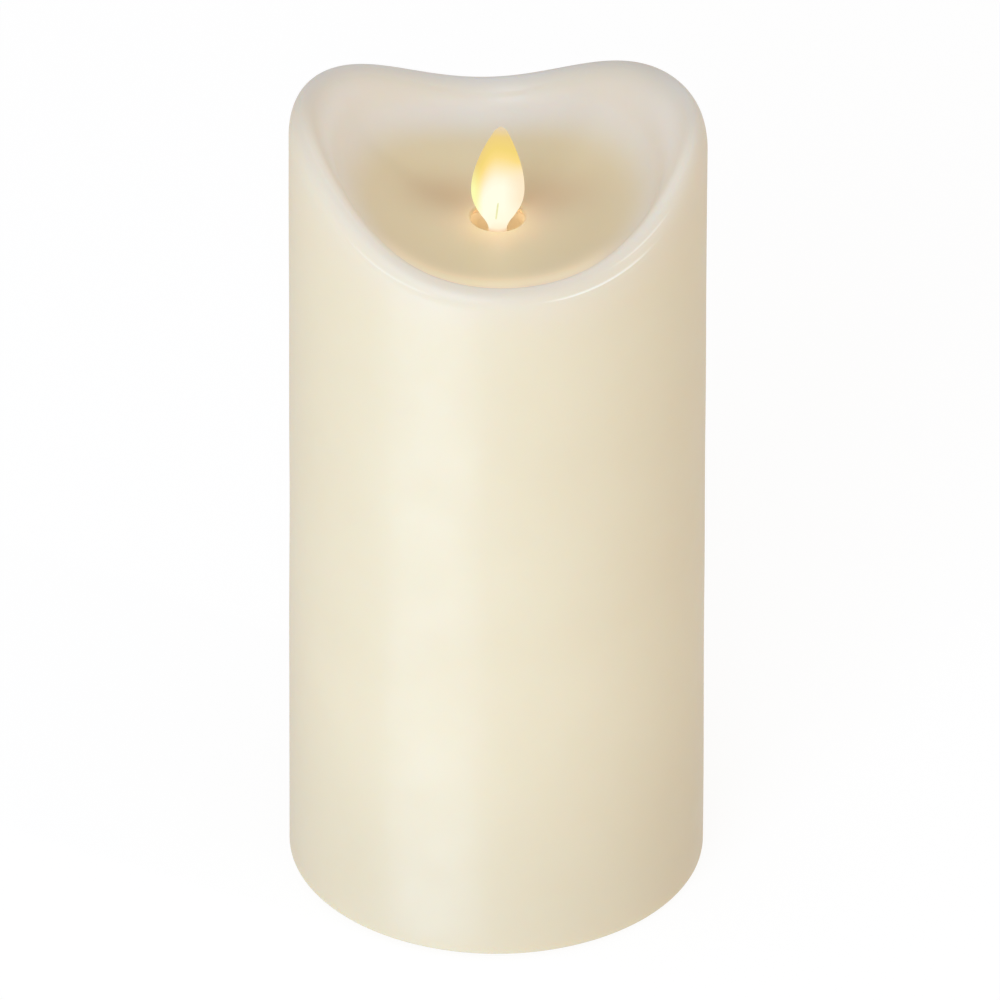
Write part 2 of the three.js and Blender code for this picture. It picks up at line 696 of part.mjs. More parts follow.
function switchSlider() {
  const y = SWITCH_Y;
  const half = KNOB_HALF_X;
  const stem = block(-half, half, y - 1.1, y + 1.1, BASE_LOW - 0.5, ABOVE_BASE + 2.2);
  const ridges = [-0.9, 0, 0.9].map((x) =>
    block(x - 0.2, x + 0.2, y - 2, y + 2, BASE_LOW - 1, BASE_LOW - 0.25),
  );
  return carve(stem, ...ridges).translate(SWITCH_REST_X, 0, 0);
}
place("switch_slider", switchSlider(), WHITE_LEAD);

// A screw that points down, with its head's underside at seatZ.
const downScrew = (kind, seatZ) =>
  screw(kind, 0)
    .rotateX(Math.PI)
    .translate(0, 0, seatZ + SCREW_HEAD_T);

[-1, 1].forEach((side, i) => {
  const made = downScrew(SWITCH_SCREW, ABOVE_BASE + SWITCH_EAR_T + GAP);
  place(`switch_screw_${i + 1}`, made.translate(side * SWITCH_SCREW_X, SWITCH_Y, 0), STEEL);
});

// ---------------------------------------------------------------- circuit board
function circuitBoard() {
  const outline = roundedRectangle(-BOARD_HALF_X, BOARD_HALF_X, -BOARD_HALF_Y, BOARD_HALF_Y, 2);
  const holes = [-BOARD_SCREW_X, BOARD_SCREW_X].map((x) =>
    cylinder(1.2, BOARD_LOW - 1, BOARD_TOP + 1, 12).translate(x, 0, 0),
  );
  return carve(extrude(outline, BOARD_LOW, BOARD_TOP, 3), ...holes);
}
place("circuit_board", circuitBoard(), BOARD_GREEN);
[-1, 1].forEach((side, i) => {
  const made = downScrew(BOARD_SCREW, BOARD_TOP + GAP);
  place(`board_screw_${i + 1}`, made.translate(side * BOARD_SCREW_X, 0, 0), STEEL);
});

function controllerChip() {
  const moulding = block(-4.5, 4.5, -2, 2, ON_BOARD + 0.2, ON_BOARD + 1.7);
  const legs = [];
  for (let i = 0; i < 7; i += 1) {
    const x = -3.81 + 1.27 * i;
    legs.push(block(x - 0.2, x + 0.2, -3, 3, ON_BOARD, ON_BOARD + 0.6));
  }
  return unite(moulding, ...legs).translate(-2, 1.5, 0);
}
place("controller_chip", controllerChip(), BLACK_PLASTIC);

const capacitor = lathe(
  [
    [0, ON_BOARD],
    [3.15, ON_BOARD],
    [3.15, ON_BOARD + 6.6],
    [2.7, ON_BOARD + 7],
    [0, ON_BOARD + 7],
  ],
  24,
);
place("smoothing_capacitor", capacitor.translate(11.5, -5.2, 0), BLACK_PLASTIC);

// A three-legged transistor with one flat face.
function transistor() {
  const body = carve(
    cylinder(2.3, ON_BOARD + 2.2, ON_BOARD + 6.8, 20),
    block(-3, 3, 1.2, 3, ON_BOARD, ON_BOARD + 9),
  );
  const legs = [-1.27, 0, 1.27].map((x) =>
    block(x - 0.22, x + 0.22, -0.22, 0.22, ON_BOARD, ON_BOARD + 2.5),
  );
  return unite(body, ...legs).translate(8.8, 5.2, 0);
}
place("coil_transistor", transistor(), BLACK_PLASTIC);

const crystal = alongX(cylinder(1.5, -4, 4, 12)).translate(-12.2, -3, ON_BOARD + 1.5);
place("timer_crystal", crystal, STEEL);

const resistor = alongX(
  lathe(
    [
      [0, -3.2],
      [1.15, -3.2],
      [1.15, -2],
      [0.9, -1.6],
      [0.9, 1.6],
      [1.15, 2],
      [1.15, 3.2],
      [0, 3.2],
    ],
    16,
  ),
);
place("led_resistor", resistor.translate(1, -6.3, ON_BOARD + 1.15), RESISTOR_SKIN);

// ---------------------------------------------------------------- flame housing
// Two halves that meet on the plane y = 0 and clamp the wire, the coil and, in the front half, the LED.
function housingWhole() {
  const sleeve = lathe(
    [
      [HOUSING_BORE_R, HOUSING_LOW],
      [HOUSING_R, HOUSING_LOW],
      [HOUSING_R, FLANGE_LOW],
      [FLANGE_R, FLANGE_LOW],
      [FLANGE_R, FLANGE_LOW + FLANGE_T],
      [HOUSING_R, FLANGE_LOW + FLANGE_T],
      [HOUSING_R, HOUSING_TOP],
      [HOUSING_BORE_R, HOUSING_TOP],
      [HOUSING_BORE_R, HOUSING_LOW],
    ],
    32,
  );
  const ears = [-1, 1].map((side) => {
    const far = side * (CLAMP_X + 3);
    const near = side * (HOUSING_R - 1);
    const [low, high] = [Math.min(far, near), Math.max(far, near)];
    return block(low, high, -CLAMP_EAR_HALF, CLAMP_EAR_HALF, CLAMP_Z - 3.2, CLAMP_Z + 3.2);
  });
  const barrel = alongLed(cylinder(BARREL_R, -2.2, 8.5, 16));
  const heart = cylinder(HOUSING_BORE_R, HOUSING_LOW - 1, HOUSING_TOP + 1, 32);
  const coilGroove = cylinder(
    COIL_FLANGE_R + GAP,
    COIL_LOW - GAP,
    COIL_LOW + BOBBIN_FLANGE_T + GAP,
    32,
  );
  const flangeHoles = FLANGE_SCREW_ANGLES.map((angle) => {
    const [x, y] = onCircle(FLANGE_SCREW_CIRCLE_R, angle);
    return cylinder(1.5, FLANGE_LOW - 1, FLANGE_LOW + FLANGE_T + 1, 10).translate(x, y, 0);
  });
  const wireSlot = block(
    -HOUSING_R - 1,
    HOUSING_R + 1,
    -WIRE_R - GAP,
    WIRE_R + GAP,
    PIVOT_Z - WIRE_ROCK_ROOM,
    PIVOT_Z + WIRE_ROCK_ROOM,
  );
  const clampHoles = [-CLAMP_X, CLAMP_X].map((x) =>
    alongY(cylinder(1.3, -2.6, 4, 10)).translate(x, 0, CLAMP_Z),
  );
  const ledBore = alongLed(cylinder(BARREL_BORE_R, -3, 16, 16));
  return carve(
    unite(sleeve, ...ears, barrel),
    heart,
    coilGroove,
    ...flangeHoles,
    wireSlot,
    ...clampHoles,
    ledBore,
  );
}

function housingHalf(side) {
  const half = side * GAP * 0.5;
  const far = side * 40;
  const [lowY, highY] = [Math.min(half, far), Math.max(half, far)];
  const keep = block(-40, 40, lowY, highY, HOUSING_LOW - 5, HOUSING_TOP + 5);
  return geometryOf(solid(housingWhole()).intersect(solid(keep)));
}
place("flame_housing_front", housingHalf(-1), IVORY_PLASTIC);
place("flame_housing_rear", housingHalf(1), IVORY_PLASTIC);

// The clamp screws run in from the rear, heads against the ears.
[-1, 1].forEach((side, i) => {
  const made = screw(CLAMP_SCREW, 0).rotateX(Math.PI / 2);
  const headY = CLAMP_EAR_HALF + GAP + SCREW_HEAD_T;
  place(`clamp_screw_${i + 1}`, made.translate(side * CLAMP_X, headY, CLAMP_Z), STEEL);
});

FLANGE_SCREW_ANGLES.forEach((angle, i) => {
  const [x, y] = onCircle(FLANGE_SCREW_CIRCLE_R, angle);
  const made = screw(FLANGE_SCREW, FLANGE_LOW - GAP - SCREW_HEAD_T);
  place(`flange_screw_${i + 1}`, made.translate(x, y, 0), STEEL);
});

// ---------------------------------------------------------------- flame paddle on its wire
const pivotWire = alongX(cylinder(WIRE_R, -WIRE_HALF, WIRE_HALF, 10));
place("pivot_wire", pivotWire.translate(0, 0, PIVOT_Z), STEEL);

// How far the blade's centre line leans to the right at one height.
function leanAt(z) {
  const share = Math.max(0, (z - BELLY_Z) / (TIP_Z - BELLY_Z));
  return TIP_LEAN * share ** 1.5;
}

// One edge of the paddle, as [half width, height] points: straight up the arm, then out to the
// blade's belly, in to its shoulder and round to the tip.
function paddleEdge() {
  const curve = (...numbers) => {
    const points = [];
    for (let i = 0; i < numbers.length; i += 2) {
      points.push(new THREE.Vector2(numbers[i], numbers[i + 1]));
    }
    return new THREE.CubicBezierCurve(...points);
  };
  const lower = curve(NECK_HALF_W, NECK_Z, 1.2, 148.2, BELLY_HALF_W, 149.8, BELLY_HALF_W, BELLY_Z);
  const upper = curve(BELLY_HALF_W, BELLY_Z, BELLY_HALF_W, 160.3, 3.2, 165.4, TIP_HALF_W, SHOULDER_Z);
  const tip = curve(TIP_HALF_W, SHOULDER_Z, 1, 169.57, 0.6, TIP_Z, 0, TIP_Z);
  const bends = [
    [lower, 12],
    [upper, 12],
    [tip, 4],
  ];
  const edge = [
    [ARM_HALF_W, CUP_TOP - 1],
    [ARM_HALF_W, ARM_TOP],
    [NECK_HALF_W, NECK_Z],
  ];
  for (const [bend, steps] of bends) {
    for (const point of bend.getPoints(steps).slice(1)) {
      edge.push([point.x, point.y]);
    }
  }
  return edge;
}

function paddleShape() {
  const edge = paddleEdge();
  const right = edge.map(([half, z]) => new THREE.Vector2(leanAt(z) + half, z));
  const left = edge.slice(0, -1).map(([half, z]) => new THREE.Vector2(leanAt(z) - half, z));
  return new THREE.Shape([...right, ...left.reverse()]);
}

// A shape drawn in the x-z plane becomes a plate on both sides of y = 0.
const upright = (shape, halfT) => extrude(shape, -halfT, halfT).rotateX(Math.PI / 2);

function flamePaddle() {
  const plate = upright(paddleShape(), PADDLE_HALF_T);
  const eye = alongY(cylinder(EYE_R, -EYE_HALF_T, EYE_HALF_T, 20)).translate(0, 0, PIVOT_Z);
  const cup = cylinder(CUP_R, CUP_LOW, CUP_TOP, 20);
  const bore = alongX(cylinder(EYE_HOLE_R, -EYE_R - 1, EYE_R + 1, 12)).translate(0, 0, PIVOT_Z);
  const pocket = cylinder(MAGNET_R + GAP, CUP_LOW - 1, CUP_LOW + MAGNET_HEIGHT + 2 * GAP, 20);
  return carve(unite(plate, eye, cup), bore, pocket);
}
place("flame_paddle", flamePaddle(), FLAME_PLASTIC);
const magnetLow = CUP_LOW + GAP;
place("paddle_magnet", cylinder(MAGNET_R, magnetLow, magnetLow + MAGNET_HEIGHT, 20), STEEL);

// ---------------------------------------------------------------- coil
const bobbin = lathe(
  [
    [COIL_HOLE_R, COIL_LOW],
    [COIL_FLANGE_R, COIL_LOW],
    [COIL_FLANGE_R, COIL_LOW + BOBBIN_FLANGE_T],
    [BOBBIN_CORE_R, COIL_LOW + BOBBIN_FLANGE_T],
    [BOBBIN_CORE_R, COIL_TOP - BOBBIN_FLANGE_T],
    [HOUSING_BORE_R - 0.4, COIL_TOP - BOBBIN_FLANGE_T],
    [HOUSING_BORE_R - 0.4, COIL_TOP],
    [COIL_HOLE_R, COIL_TOP],
    [COIL_HOLE_R, COIL_LOW],
  ],
  28,
);
place("coil_bobbin", bobbin, BLACK_PLASTIC);
const windingLow = COIL_LOW + BOBBIN_FLANGE_T + GAP;
const windingHigh = COIL_TOP - BOBBIN_FLANGE_T - GAP;
place("coil_winding", tube(BOBBIN_CORE_R + GAP, COIL_R, windingLow, windingHigh, 32), COPPER);

// ---------------------------------------------------------------- LED
function ledLamp() {
  const profile = [
    [0, 0],
    [LED_FLANGE_R, 0],
    [LED_FLANGE_R, 1],
    [LED_R, 1],
  ];
  const domeSteps = 5;
  for (let i = 0; i <= domeSteps; i += 1) {
    const a = ((Math.PI / 2) * i) / domeSteps;
    profile.push([LED_R * Math.cos(a), LED_LENGTH - LED_R + LED_R * Math.sin(a)]);
  }
  profile[profile.length - 1][0] = 0;
  return alongLed(lathe(profile, 24));
}
place("led_lamp", ledLamp(), CLEAR_EPOXY);
place("led_retainer", alongLed(tube(1.9, 2.9, -1.6, -GAP, 20)), BLACK_PLASTIC);

const ledLeg = (x) => alongLed(cylinder(LEG_R, -GAP - LEG_LENGTH, -GAP, 6).translate(x, 0, 0));
place("led_leg_anode", ledLeg(-LEG_PITCH / 2), STEEL);
place("led_leg_cathode", ledLeg(LEG_PITCH / 2), STEEL);

// ---------------------------------------------------------------- leads
// Every lead leaves its first point and reaches its last one along the axis of what it is soldered to.
const lead = (points) => wire(points, LEAD_R, 5, 3 * (points.length - 1));

// From each battery tag over the edge of the board to its pad.
function batteryLead(side) {
  const flip = (x, y, z) => [side * x, -side * y, z];
  return lead([
    flip(CELL_X, TAG_Y, TAG_TOP + 0.4),
    flip(CELL_X + 0.2, TAG_Y, 66.4),
    flip(CELL_X + 1.2, TAG_Y - 1.8, 69.2),
    flip(CELL_X + 2.2, TAG_Y - 4.6, 68.8),
    flip(CELL_X + 2.3, TAG_Y - 5, PAD_Z),
  ]);
}
place("battery_lead_positive", batteryLead(-1), RED_LEAD);
place("battery_lead_negative", batteryLead(1), BLACK_LEAD);

// From the switch terminals up the gap behind the battery box, then in over the board.
const SWITCH_LEAD_SKINS = [WHITE_LEAD, RED_LEAD, BLACK_LEAD];
[-1, 0, 1].forEach((k, i) => {
  const made = lead([
    [TERMINAL_PITCH * k, SWITCH_Y, TERMINAL_TOP + GAP],
    [3.2 * k, SWITCH_Y - 0.2, 18],
    [2.4 * k, 23, 38],
    [2.3 * k, 20.4, 60],
    [2.3 * k, 14.6, 69.8],
    [2.2 * k - 2, 8.2, 69.6],
    [2.2 * k - 2, 7.8, PAD_Z],
  ]);
  place(`switch_lead_${i + 1}`, made, SWITCH_LEAD_SKINS[i]);
});

// From the board up the right of the chamber to the foot of the coil, side by side all the way.
[-1, 1].forEach((side, i) => {
  const route = [
    [14, 6, PAD_Z],
    [14, 6.2, 70],
    [19.4, 9.2, 78],
    [18, 8.4, 87],
    [6.4, 4, 93],
    [5.8, 3.6, COIL_LOW - GAP - 0.1],
  ];
  const made = lead(route.map(([x, y, z]) => [x + 0.5 * side, y - 1.2 * side, z]));
  place(`coil_lead_${i + 1}`, made, COPPER);
});

// From the board up the front of the chamber to the legs of the LED.
[-1, 1].forEach((side, i) => {
  const end = LED_BASE.clone().addScaledVector(LED_AIM, -2 * GAP - LEG_LENGTH);
  const made = lead([
    [2.2 * side - 7, -7.8, PAD_Z],
    [2.2 * side - 7, -8.4, 69.5],
    [1.8 * side - 5, -20, 79],
    [1.5 * side - 2, -26, 94],
    [1.4 * side, -24.8, 109],
    [(LEG_PITCH / 2) * side, end.y, end.z],
  ]);
  place(`led_lead_${i + 1}`, made, side < 0 ? RED_LEAD : BLACK_LEAD);
});

export default candle;
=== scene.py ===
"""The looks of a flameless LED pillar candle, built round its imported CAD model.

Sizes in the code are millimetres, and MM turns them into the frame's metres.
"""
import json
import math

import bmesh
import bpy
import numpy as np
from mathutils import Matrix, Vector, noise


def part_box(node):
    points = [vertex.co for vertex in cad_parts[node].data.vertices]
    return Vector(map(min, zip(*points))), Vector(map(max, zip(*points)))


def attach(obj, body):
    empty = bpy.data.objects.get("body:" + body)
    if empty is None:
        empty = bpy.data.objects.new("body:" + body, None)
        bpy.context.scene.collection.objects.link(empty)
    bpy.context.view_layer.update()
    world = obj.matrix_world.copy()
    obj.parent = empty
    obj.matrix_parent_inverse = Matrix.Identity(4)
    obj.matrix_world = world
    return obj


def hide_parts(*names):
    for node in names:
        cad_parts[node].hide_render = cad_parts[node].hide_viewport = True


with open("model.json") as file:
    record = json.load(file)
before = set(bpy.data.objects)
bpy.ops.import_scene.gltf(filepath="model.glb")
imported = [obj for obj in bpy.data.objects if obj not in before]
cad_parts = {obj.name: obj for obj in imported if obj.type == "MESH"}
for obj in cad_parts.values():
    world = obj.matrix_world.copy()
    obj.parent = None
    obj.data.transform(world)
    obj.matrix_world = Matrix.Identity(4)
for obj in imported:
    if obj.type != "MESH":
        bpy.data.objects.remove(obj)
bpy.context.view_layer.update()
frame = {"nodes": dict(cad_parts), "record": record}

MM = 0.001
AXIS = 0.01  # the radius at which a turned profile starts and ends


def box_mm(node):
    """A CAD node's lowest and highest corners, in millimetres."""
    low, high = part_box(node)
    return low / MM, high / MM


# ------------------------------------------------------------------ the candle's sizes, from the frame
GAP = 0.3  # clearance between pieces that touch
SHELL_LOW, SHELL_HIGH = box_mm("wax_shell")
LINER_HIGH = box_mm("inner_liner")[1]
PADDLE_LOW, PADDLE_HIGH = box_mm("flame_paddle")
BODY_R = SHELL_HIGH.x
SHELL_BOTTOM = SHELL_LOW.z
BORE_R = LINER_HIGH.x + GAP
FLOOR_UNDER = LINER_HIGH.z + GAP
FLOOR_TOP = FLOOR_UNDER + 4.1
HOLE_R = 5.3
HOLE_FLARE_R = 8.5
LIP = 0.6  # radius of the rounded edge at the top of the hole


# ------------------------------------------------------------------ mesh tools
def mesh_piece(name, corners, faces, sharp_angle=40):
    """A new object from corners in millimetres, shaded smooth except at edges sharper than sharp_angle."""
    mesh = bpy.data.meshes.new(name)
    mesh.from_pydata([Vector(c) * MM for c in corners], [], faces)
    mesh.validate()
    shade(mesh, sharp_angle)
    piece = bpy.data.objects.new(name, mesh)
    bpy.context.scene.collection.objects.link(piece)
    return piece


def shade(mesh, sharp_angle):
    """Shades every face smooth, with a crease at edges sharper than sharp_angle."""
    mesh.polygons.foreach_set("use_smooth", [True] * len(mesh.polygons))
    mesh.set_sharp_from_angle(angle=math.radians(sharp_angle))


def grid_faces(rows, columns, wrap_rows, wrap_columns):
    """Quads over a grid of corners stored row by row."""
    faces = []
    for i in range(rows if wrap_rows else rows - 1):
        for j in range(columns if wrap_columns else columns - 1):
            k, m = (i + 1) % rows, (j + 1) % columns
            faces.append((i * columns + j, k * columns + j, k * columns + m, i * columns + m))
    return faces


def circle(count):
    """Angles at even steps round a full turn."""
    return [2 * math.pi * k / count for k in range(count)]


def lathe_piece(name, profile, around=48, sharp_angle=40):
    """A closed solid turned about Z from a profile that starts and ends near the axis and runs upwards."""
    corners = [(r * math.cos(a), r * math.sin(a), z) for r, z in profile for a in circle(around)]
    faces = [face[::-1] for face in grid_faces(len(profile), around, False, True)]
    faces.append(tuple(range(around))[::-1])
    faces.append(tuple(range(len(corners) - around, len(corners))))
    return mesh_piece(name, corners, faces, sharp_angle)


def mark(piece, name, values):
    """Stores a value at each corner of a piece, for its material to read."""
    layer = piece.data.attributes.new(name, "FLOAT", "POINT")
    layer.data.foreach_set("value", values)


def move(piece, matrix):
    """Moves a piece's corners, by a matrix that works in millimetres."""
    scaled = Matrix.Scale(MM, 4) @ matrix @ Matrix.Scale(1 / MM, 4)
    piece.data.transform(scaled)
    return piece


def combine(piece, other, operation, sharp_angle=40):
    """Joins another piece to this one, or cuts it away from this one, and removes the other one."""
    step = piece.modifiers.new(operation, "BOOLEAN")
    step.operation = operation
    step.solver = "EXACT"
    step.object = other
    bpy.context.view_layer.update()
    made = bpy.data.meshes.new_from_object(piece.evaluated_get(bpy.context.evaluated_depsgraph_get()))
    piece.modifiers.clear()
    piece.data = made
    shade(made, sharp_angle)
    bpy.data.objects.remove(other)
    return piece


# ------------------------------------------------------------------ material tools
class Paint:
    """A node material that starts as one Principled shader."""

    def __init__(self, name, **sockets):
        self.material = bpy.data.materials.new(name)
        self.material.use_nodes = True
        self.nodes = self.material.node_tree.nodes
        self.links = self.material.node_tree.links
        self.shader = self.nodes["Principled BSDF"]
        for socket, value in sockets.items():
            self.shader.inputs[socket.replace("_", " ")].default_value = value

    def add(self, kind, **settings):
        """A new shader node of one kind, with some of its settings."""
        node = self.nodes.new("ShaderNode" + kind)
        for key, value in settings.items():
            setattr(node, key, value)
        return node

    def place(self):
        """Where a point is in its own object, in metres."""
        return self.add("TexCoord").outputs["Object"]

    def attribute(self, name):
        """One of the mesh's own values, by name."""
        return self.add("Attribute", attribute_name=name).outputs["Fac"]

    def noise(self, scale, detail=3.0, roughness=0.5):
        """Noise from 0 to 1 over the object's own space."""
        made = self.add("TexNoise")
        made.inputs["Scale"].default_value = scale
        made.inputs["Detail"].default_value = detail
        made.inputs["Roughness"].default_value = roughness
        self.links.new(self.place(), made.inputs["Vector"])
        return made.outputs["Fac"]

    def patches(self, low, high, scale, detail=3.0, roughness=0.5):
        """Soft patches that run from low to high."""
        return self.spread(self.noise(scale, detail, roughness), low, high, 0.3, 0.7)

    def spread(self, value, low, high, from_low=0.0, from_high=1.0):
        """value's range from_low..from_high becomes low..high."""
        made = self.add("MapRange")
        self.links.new(value, made.inputs["Value"])
        ends = {"From Min": from_low, "From Max": from_high, "To Min": low, "To Max": high}
        for key, number in ends.items():
            made.inputs[key].default_value = number
        return made.outputs["Result"]

    def ramp(self, value, *stops):
        """stops are (position, (r, g, b)) pairs in linear colour."""
        made = self.add("ValToRGB")
        band = made.color_ramp
        for _ in range(len(stops) - 2):
            band.elements.new(0.5)
        for element, (position, colour) in zip(band.elements, stops):
            element.position = position
            element.color = (*colour, 1)
        self.links.new(value, made.inputs["Fac"])
        return made.outputs["Color"]

    def mix(self, factor, first, second, blend="MIX"):
        """Two colours mixed. Each value is a number, a colour or another node's socket."""
        made = self.add("Mix", data_type="RGBA", blend_type=blend)
        sockets = (made.inputs["Factor"], made.inputs[6], made.inputs[7])
        for socket, given in zip(sockets, (factor, first, second)):
            if isinstance(given, bpy.types.NodeSocket):
                self.links.new(given, socket)
            else:
                socket.default_value = given if isinstance(given, float) else (*given, 1)
        return made.outputs[2]

    def shaded(self, colour, tone):
        """A colour made lighter or darker by a tone near 1."""
        grey = self.add("CombineColor")
        for socket in grey.inputs:
            self.links.new(tone, socket)
        return self.mix(1.0, grey.outputs[0], colour, "MULTIPLY")

    def math(self, operation, first, second=0.0):
        """A sum over two values, each a number or another node's socket."""
        made = self.add("Math", operation=operation)
        for socket, given in zip(made.inputs, (first, second)):
            if isinstance(given, bpy.types.NodeSocket):
                self.links.new(given, socket)
            else:
                socket.default_value = given
        return made.outputs[0]

    def drive(self, socket, value):
        """Feeds one of the shader's sockets."""
        self.links.new(value, self.shader.inputs[socket])
        return self

    def bump(self, height, distance_mm, strength=1.0):
        """Fine relief, seen only in the shading."""
        made = self.add("Bump")
        made.inputs["Strength"].default_value = strength
        made.inputs["Distance"].default_value = distance_mm * MM
        self.links.new(height, made.inputs["Height"])
        self.links.new(made.outputs["Normal"], self.shader.inputs["Normal"])
        return self


# ------------------------------------------------------------------ wax shell
RIM_LOW = 156.9
RIM_RISE = 15.8
RIM_FRONT = 0.5
RIM_LEAN = 1.6
RIM_SHOULDER = 2.8
RIM_BACK_SHOULDER = 10.6
RIM_TURN = 0.05
FOOT_ROUNDING = 0.6
# The crest's outer and inner roundings: each one's width, how far it falls, and how much wider it is and
# further it falls at the sides.
OUTER_WIDTH = 2.7
OUTER_FALL = 4
OUTER_SIDE_FALL = 2.1
INNER_WIDTH = 2.8
INNER_SIDE_WIDTH = 3.7
INNER_FALL = 5
INNER_SIDE_FALL = 8.6
BOWL_POWER = 2.3  # how flat the bowl is near the hole


def rim_height(theta):
    """Crest height at an angle from the front, with the right side at +90 degrees: the CAD's formula."""
    side = np.sin(theta - RIM_TURN) ** 2
    ends = 1 - side
    shoulder = RIM_SHOULDER - RIM_BACK_SHOULDER * np.cos(theta)
    tilt = RIM_FRONT * np.cos(theta) * ends - RIM_LEAN * np.sin(theta) * side
    return np.minimum(RIM_LOW + RIM_RISE * side + shoulder * side * ends + tilt, SHELL_HIGH.z)


def recess_section(theta, count):
    """The smooth inner curve from the crest down to the hole, as count points of radius and height."""
    side = np.sin(theta - RIM_TURN) ** 2
    crest = rim_height(theta)
    fall = INNER_FALL + INNER_SIDE_FALL * side
    width = INNER_WIDTH + INNER_SIDE_WIDTH * side
    crest_r = BODY_R - OUTER_WIDTH
    wall_r = crest_r - width
    bowl_r = HOLE_R + LIP
    turn = np.linspace(0, math.pi / 2, 60)
    rounding = np.stack([crest_r - width * np.sin(turn), crest - fall * (1 - np.cos(turn))], 1)
    share = np.linspace(1, 0, 120)[1:]
    bowl_rise = (crest - fall - FLOOR_TOP) * share**BOWL_POWER
    bowl = np.stack([bowl_r + (wall_r - bowl_r) * share, FLOOR_TOP + bowl_rise], 1)
    fine = 160
    curve = even_points(np.concatenate([rounding, bowl]), fine)
    # The crease between the wall and the bowl melts away, and the crest and the hole keep their places.
    step = np.arange(fine)
    hold = np.clip(np.minimum(step / 30, (fine - 1 - step) / 30), 0, 1)[1:-1, None]
    for _ in range(170):
        curve[1:-1] += 0.5 * hold * (curve[:-2] + curve[2:] - 2 * curve[1:-1]) / 2
    return even_points(curve, count)


def even_points(curve, count):
    """count points at even steps along a polyline."""
    lengths = np.concatenate([[0], np.cumsum(np.linalg.norm(np.diff(curve, axis=0), axis=1))])
    steps = np.linspace(0, lengths[-1], count)
    return np.stack([np.interp(steps, lengths, curve[:, k]) for k in (0, 1)], 1)


# Faint ridges on the rim's rounding: each one's turn up the rounding, its middle and reach round the
# candle in radians, and its height. The clearest is at the front right, with a short one above it.
RIDGES = ((0.42, 0.54, 0.26, 0.16), (0.42, -0.55, 0.22, 0.05), (0.93, 0.79, 0.17, 0.09))
RIDGE_HALF_W = 0.05


def ridge_height(theta, turn):
    """How far the ridges stand out at an angle round the candle and a turn up the rounding."""
    height = 0.0
    for ridge_turn, middle, reach, top in RIDGES:
        across = ((turn - ridge_turn) / RIDGE_HALF_W) ** 2
        height += top * math.exp(-(((theta - middle) / reach) ** 4) - across)
    return height


def ease(start, end, value):
    """0 at start and 1 at end, with a smooth climb between."""
    t = min(1, max(0, (value - start) / (end - start)))
    return t * t * (3 - 2 * t)


def shell_section(theta):
    """The shell's closed section at one angle, as rows of radius, height and the section's own four masks.

    Those are recess, rim, ridge_highlight and wall, each from 0 to 1; the ridge_highlight mask marks a painted
    highlight.
    """
    side = math.sin(theta - RIM_TURN) ** 2
    crest = float(rim_height(theta))
    rows = []

    def add(r, z, recess=0.0, rim=0.0, ridge_highlight=0.0, wall=0.0):
        rows.append((r, z, recess, rim, ridge_highlight, wall))

    edge = FOOT_ROUNDING
    for turn in np.linspace(0, math.pi / 2, 5):
        add(BODY_R - edge + edge * math.sin(turn), SHELL_BOTTOM + edge - edge * math.cos(turn))
    fall = OUTER_FALL + OUTER_SIDE_FALL * side
    for z in np.linspace(SHELL_BOTTOM + edge, crest - fall, 31)[1:-1]:
        add(BODY_R, z, rim=math.exp((z - crest) / 4))
    for turn in np.linspace(0, math.pi / 2, 45):
        z = crest - fall * (1 - math.sin(turn))
        lift = ridge_height(theta, turn)
        r = BODY_R - OUTER_WIDTH + OUTER_WIDTH * math.cos(turn) + lift
        # The ridges are raised, and are also marked for a painted highlight.
        add(r, z, rim=math.exp((z - crest) / 4), ridge_highlight=lift / 0.13)
    for r, z in recess_section(theta, 64)[1:]:
        near = math.exp((z - crest) / 2.2)
        add(r, z, recess=ease(35, 18, r), rim=near, wall=ease(24, 34, r) * (1 - near))
    for turn in np.linspace(0, math.pi / 2, 9)[1:]:
        add(HOLE_R + LIP * (1 - math.sin(turn)), FLOOR_TOP - LIP * (1 - math.cos(turn)), recess=1)
    add((HOLE_R + HOLE_FLARE_R) / 2, (FLOOR_TOP - LIP + FLOOR_UNDER) / 2, recess=1)
    add(HOLE_FLARE_R, FLOOR_UNDER, recess=1)
    add((HOLE_FLARE_R + BORE_R) / 2, FLOOR_UNDER)
    add(BORE_R, FLOOR_UNDER)
    add(BORE_R, (FLOOR_UNDER + SHELL_BOTTOM) / 2)
    add(BORE_R, SHELL_BOTTOM)
    return rows


def bell(value, middle, reach):
    """1 at the middle, falling away on both sides."""
    return math.exp(-(((value - middle) / reach) ** 2))


def hollow_shade(x, y):
    """How much painted shade the recess has at a point: most in two patches behind the flame, left and right."""
    return bell(abs(x), 10, 9) * bell(y, 7, 7)


def lit_front_strip(x, y):
    """A painted strip of warm light low on the front wall of the recess, where the wax is thin."""
    return 0.95 * bell(math.hypot(x, y), 26.8, 3.2) * ease(-12, -25, y)


def shadow(x, y, z):
    """How dark the wax is on the hole's lip, all round except at the front."""
    if z <= FLOOR_TOP - 2 * LIP:
        return 0.0
    return 0.38 * ease(LIP, 0.1, math.hypot(x, y) - HOLE_R) * ease(-5.6, -2.6, y)


def lit_brim(x, y, z):
    """Painted light on the pale inner edge of the rim's crest, at the front."""
    return 0.5 * bell(math.hypot(x, y), 37.8, 1.1) * ease(4, -16, y) if z > FLOOR_TOP else 0.0


def glow(x, y, z):
    """How strongly light from inside shows through the wax: round the hole, in it and in the strip."""
    r = math.hypot(x, y)
    if z <= FLOOR_UNDER - 1:
        return 0.0
    if r < HOLE_FLARE_R + 0.1 and z < FLOOR_TOP - LIP:
        return 0.7
    return 0.2 * bell(r, HOLE_R, 5.5) * ease(6, -4, y) + 0.7 * lit_front_strip(x, y)


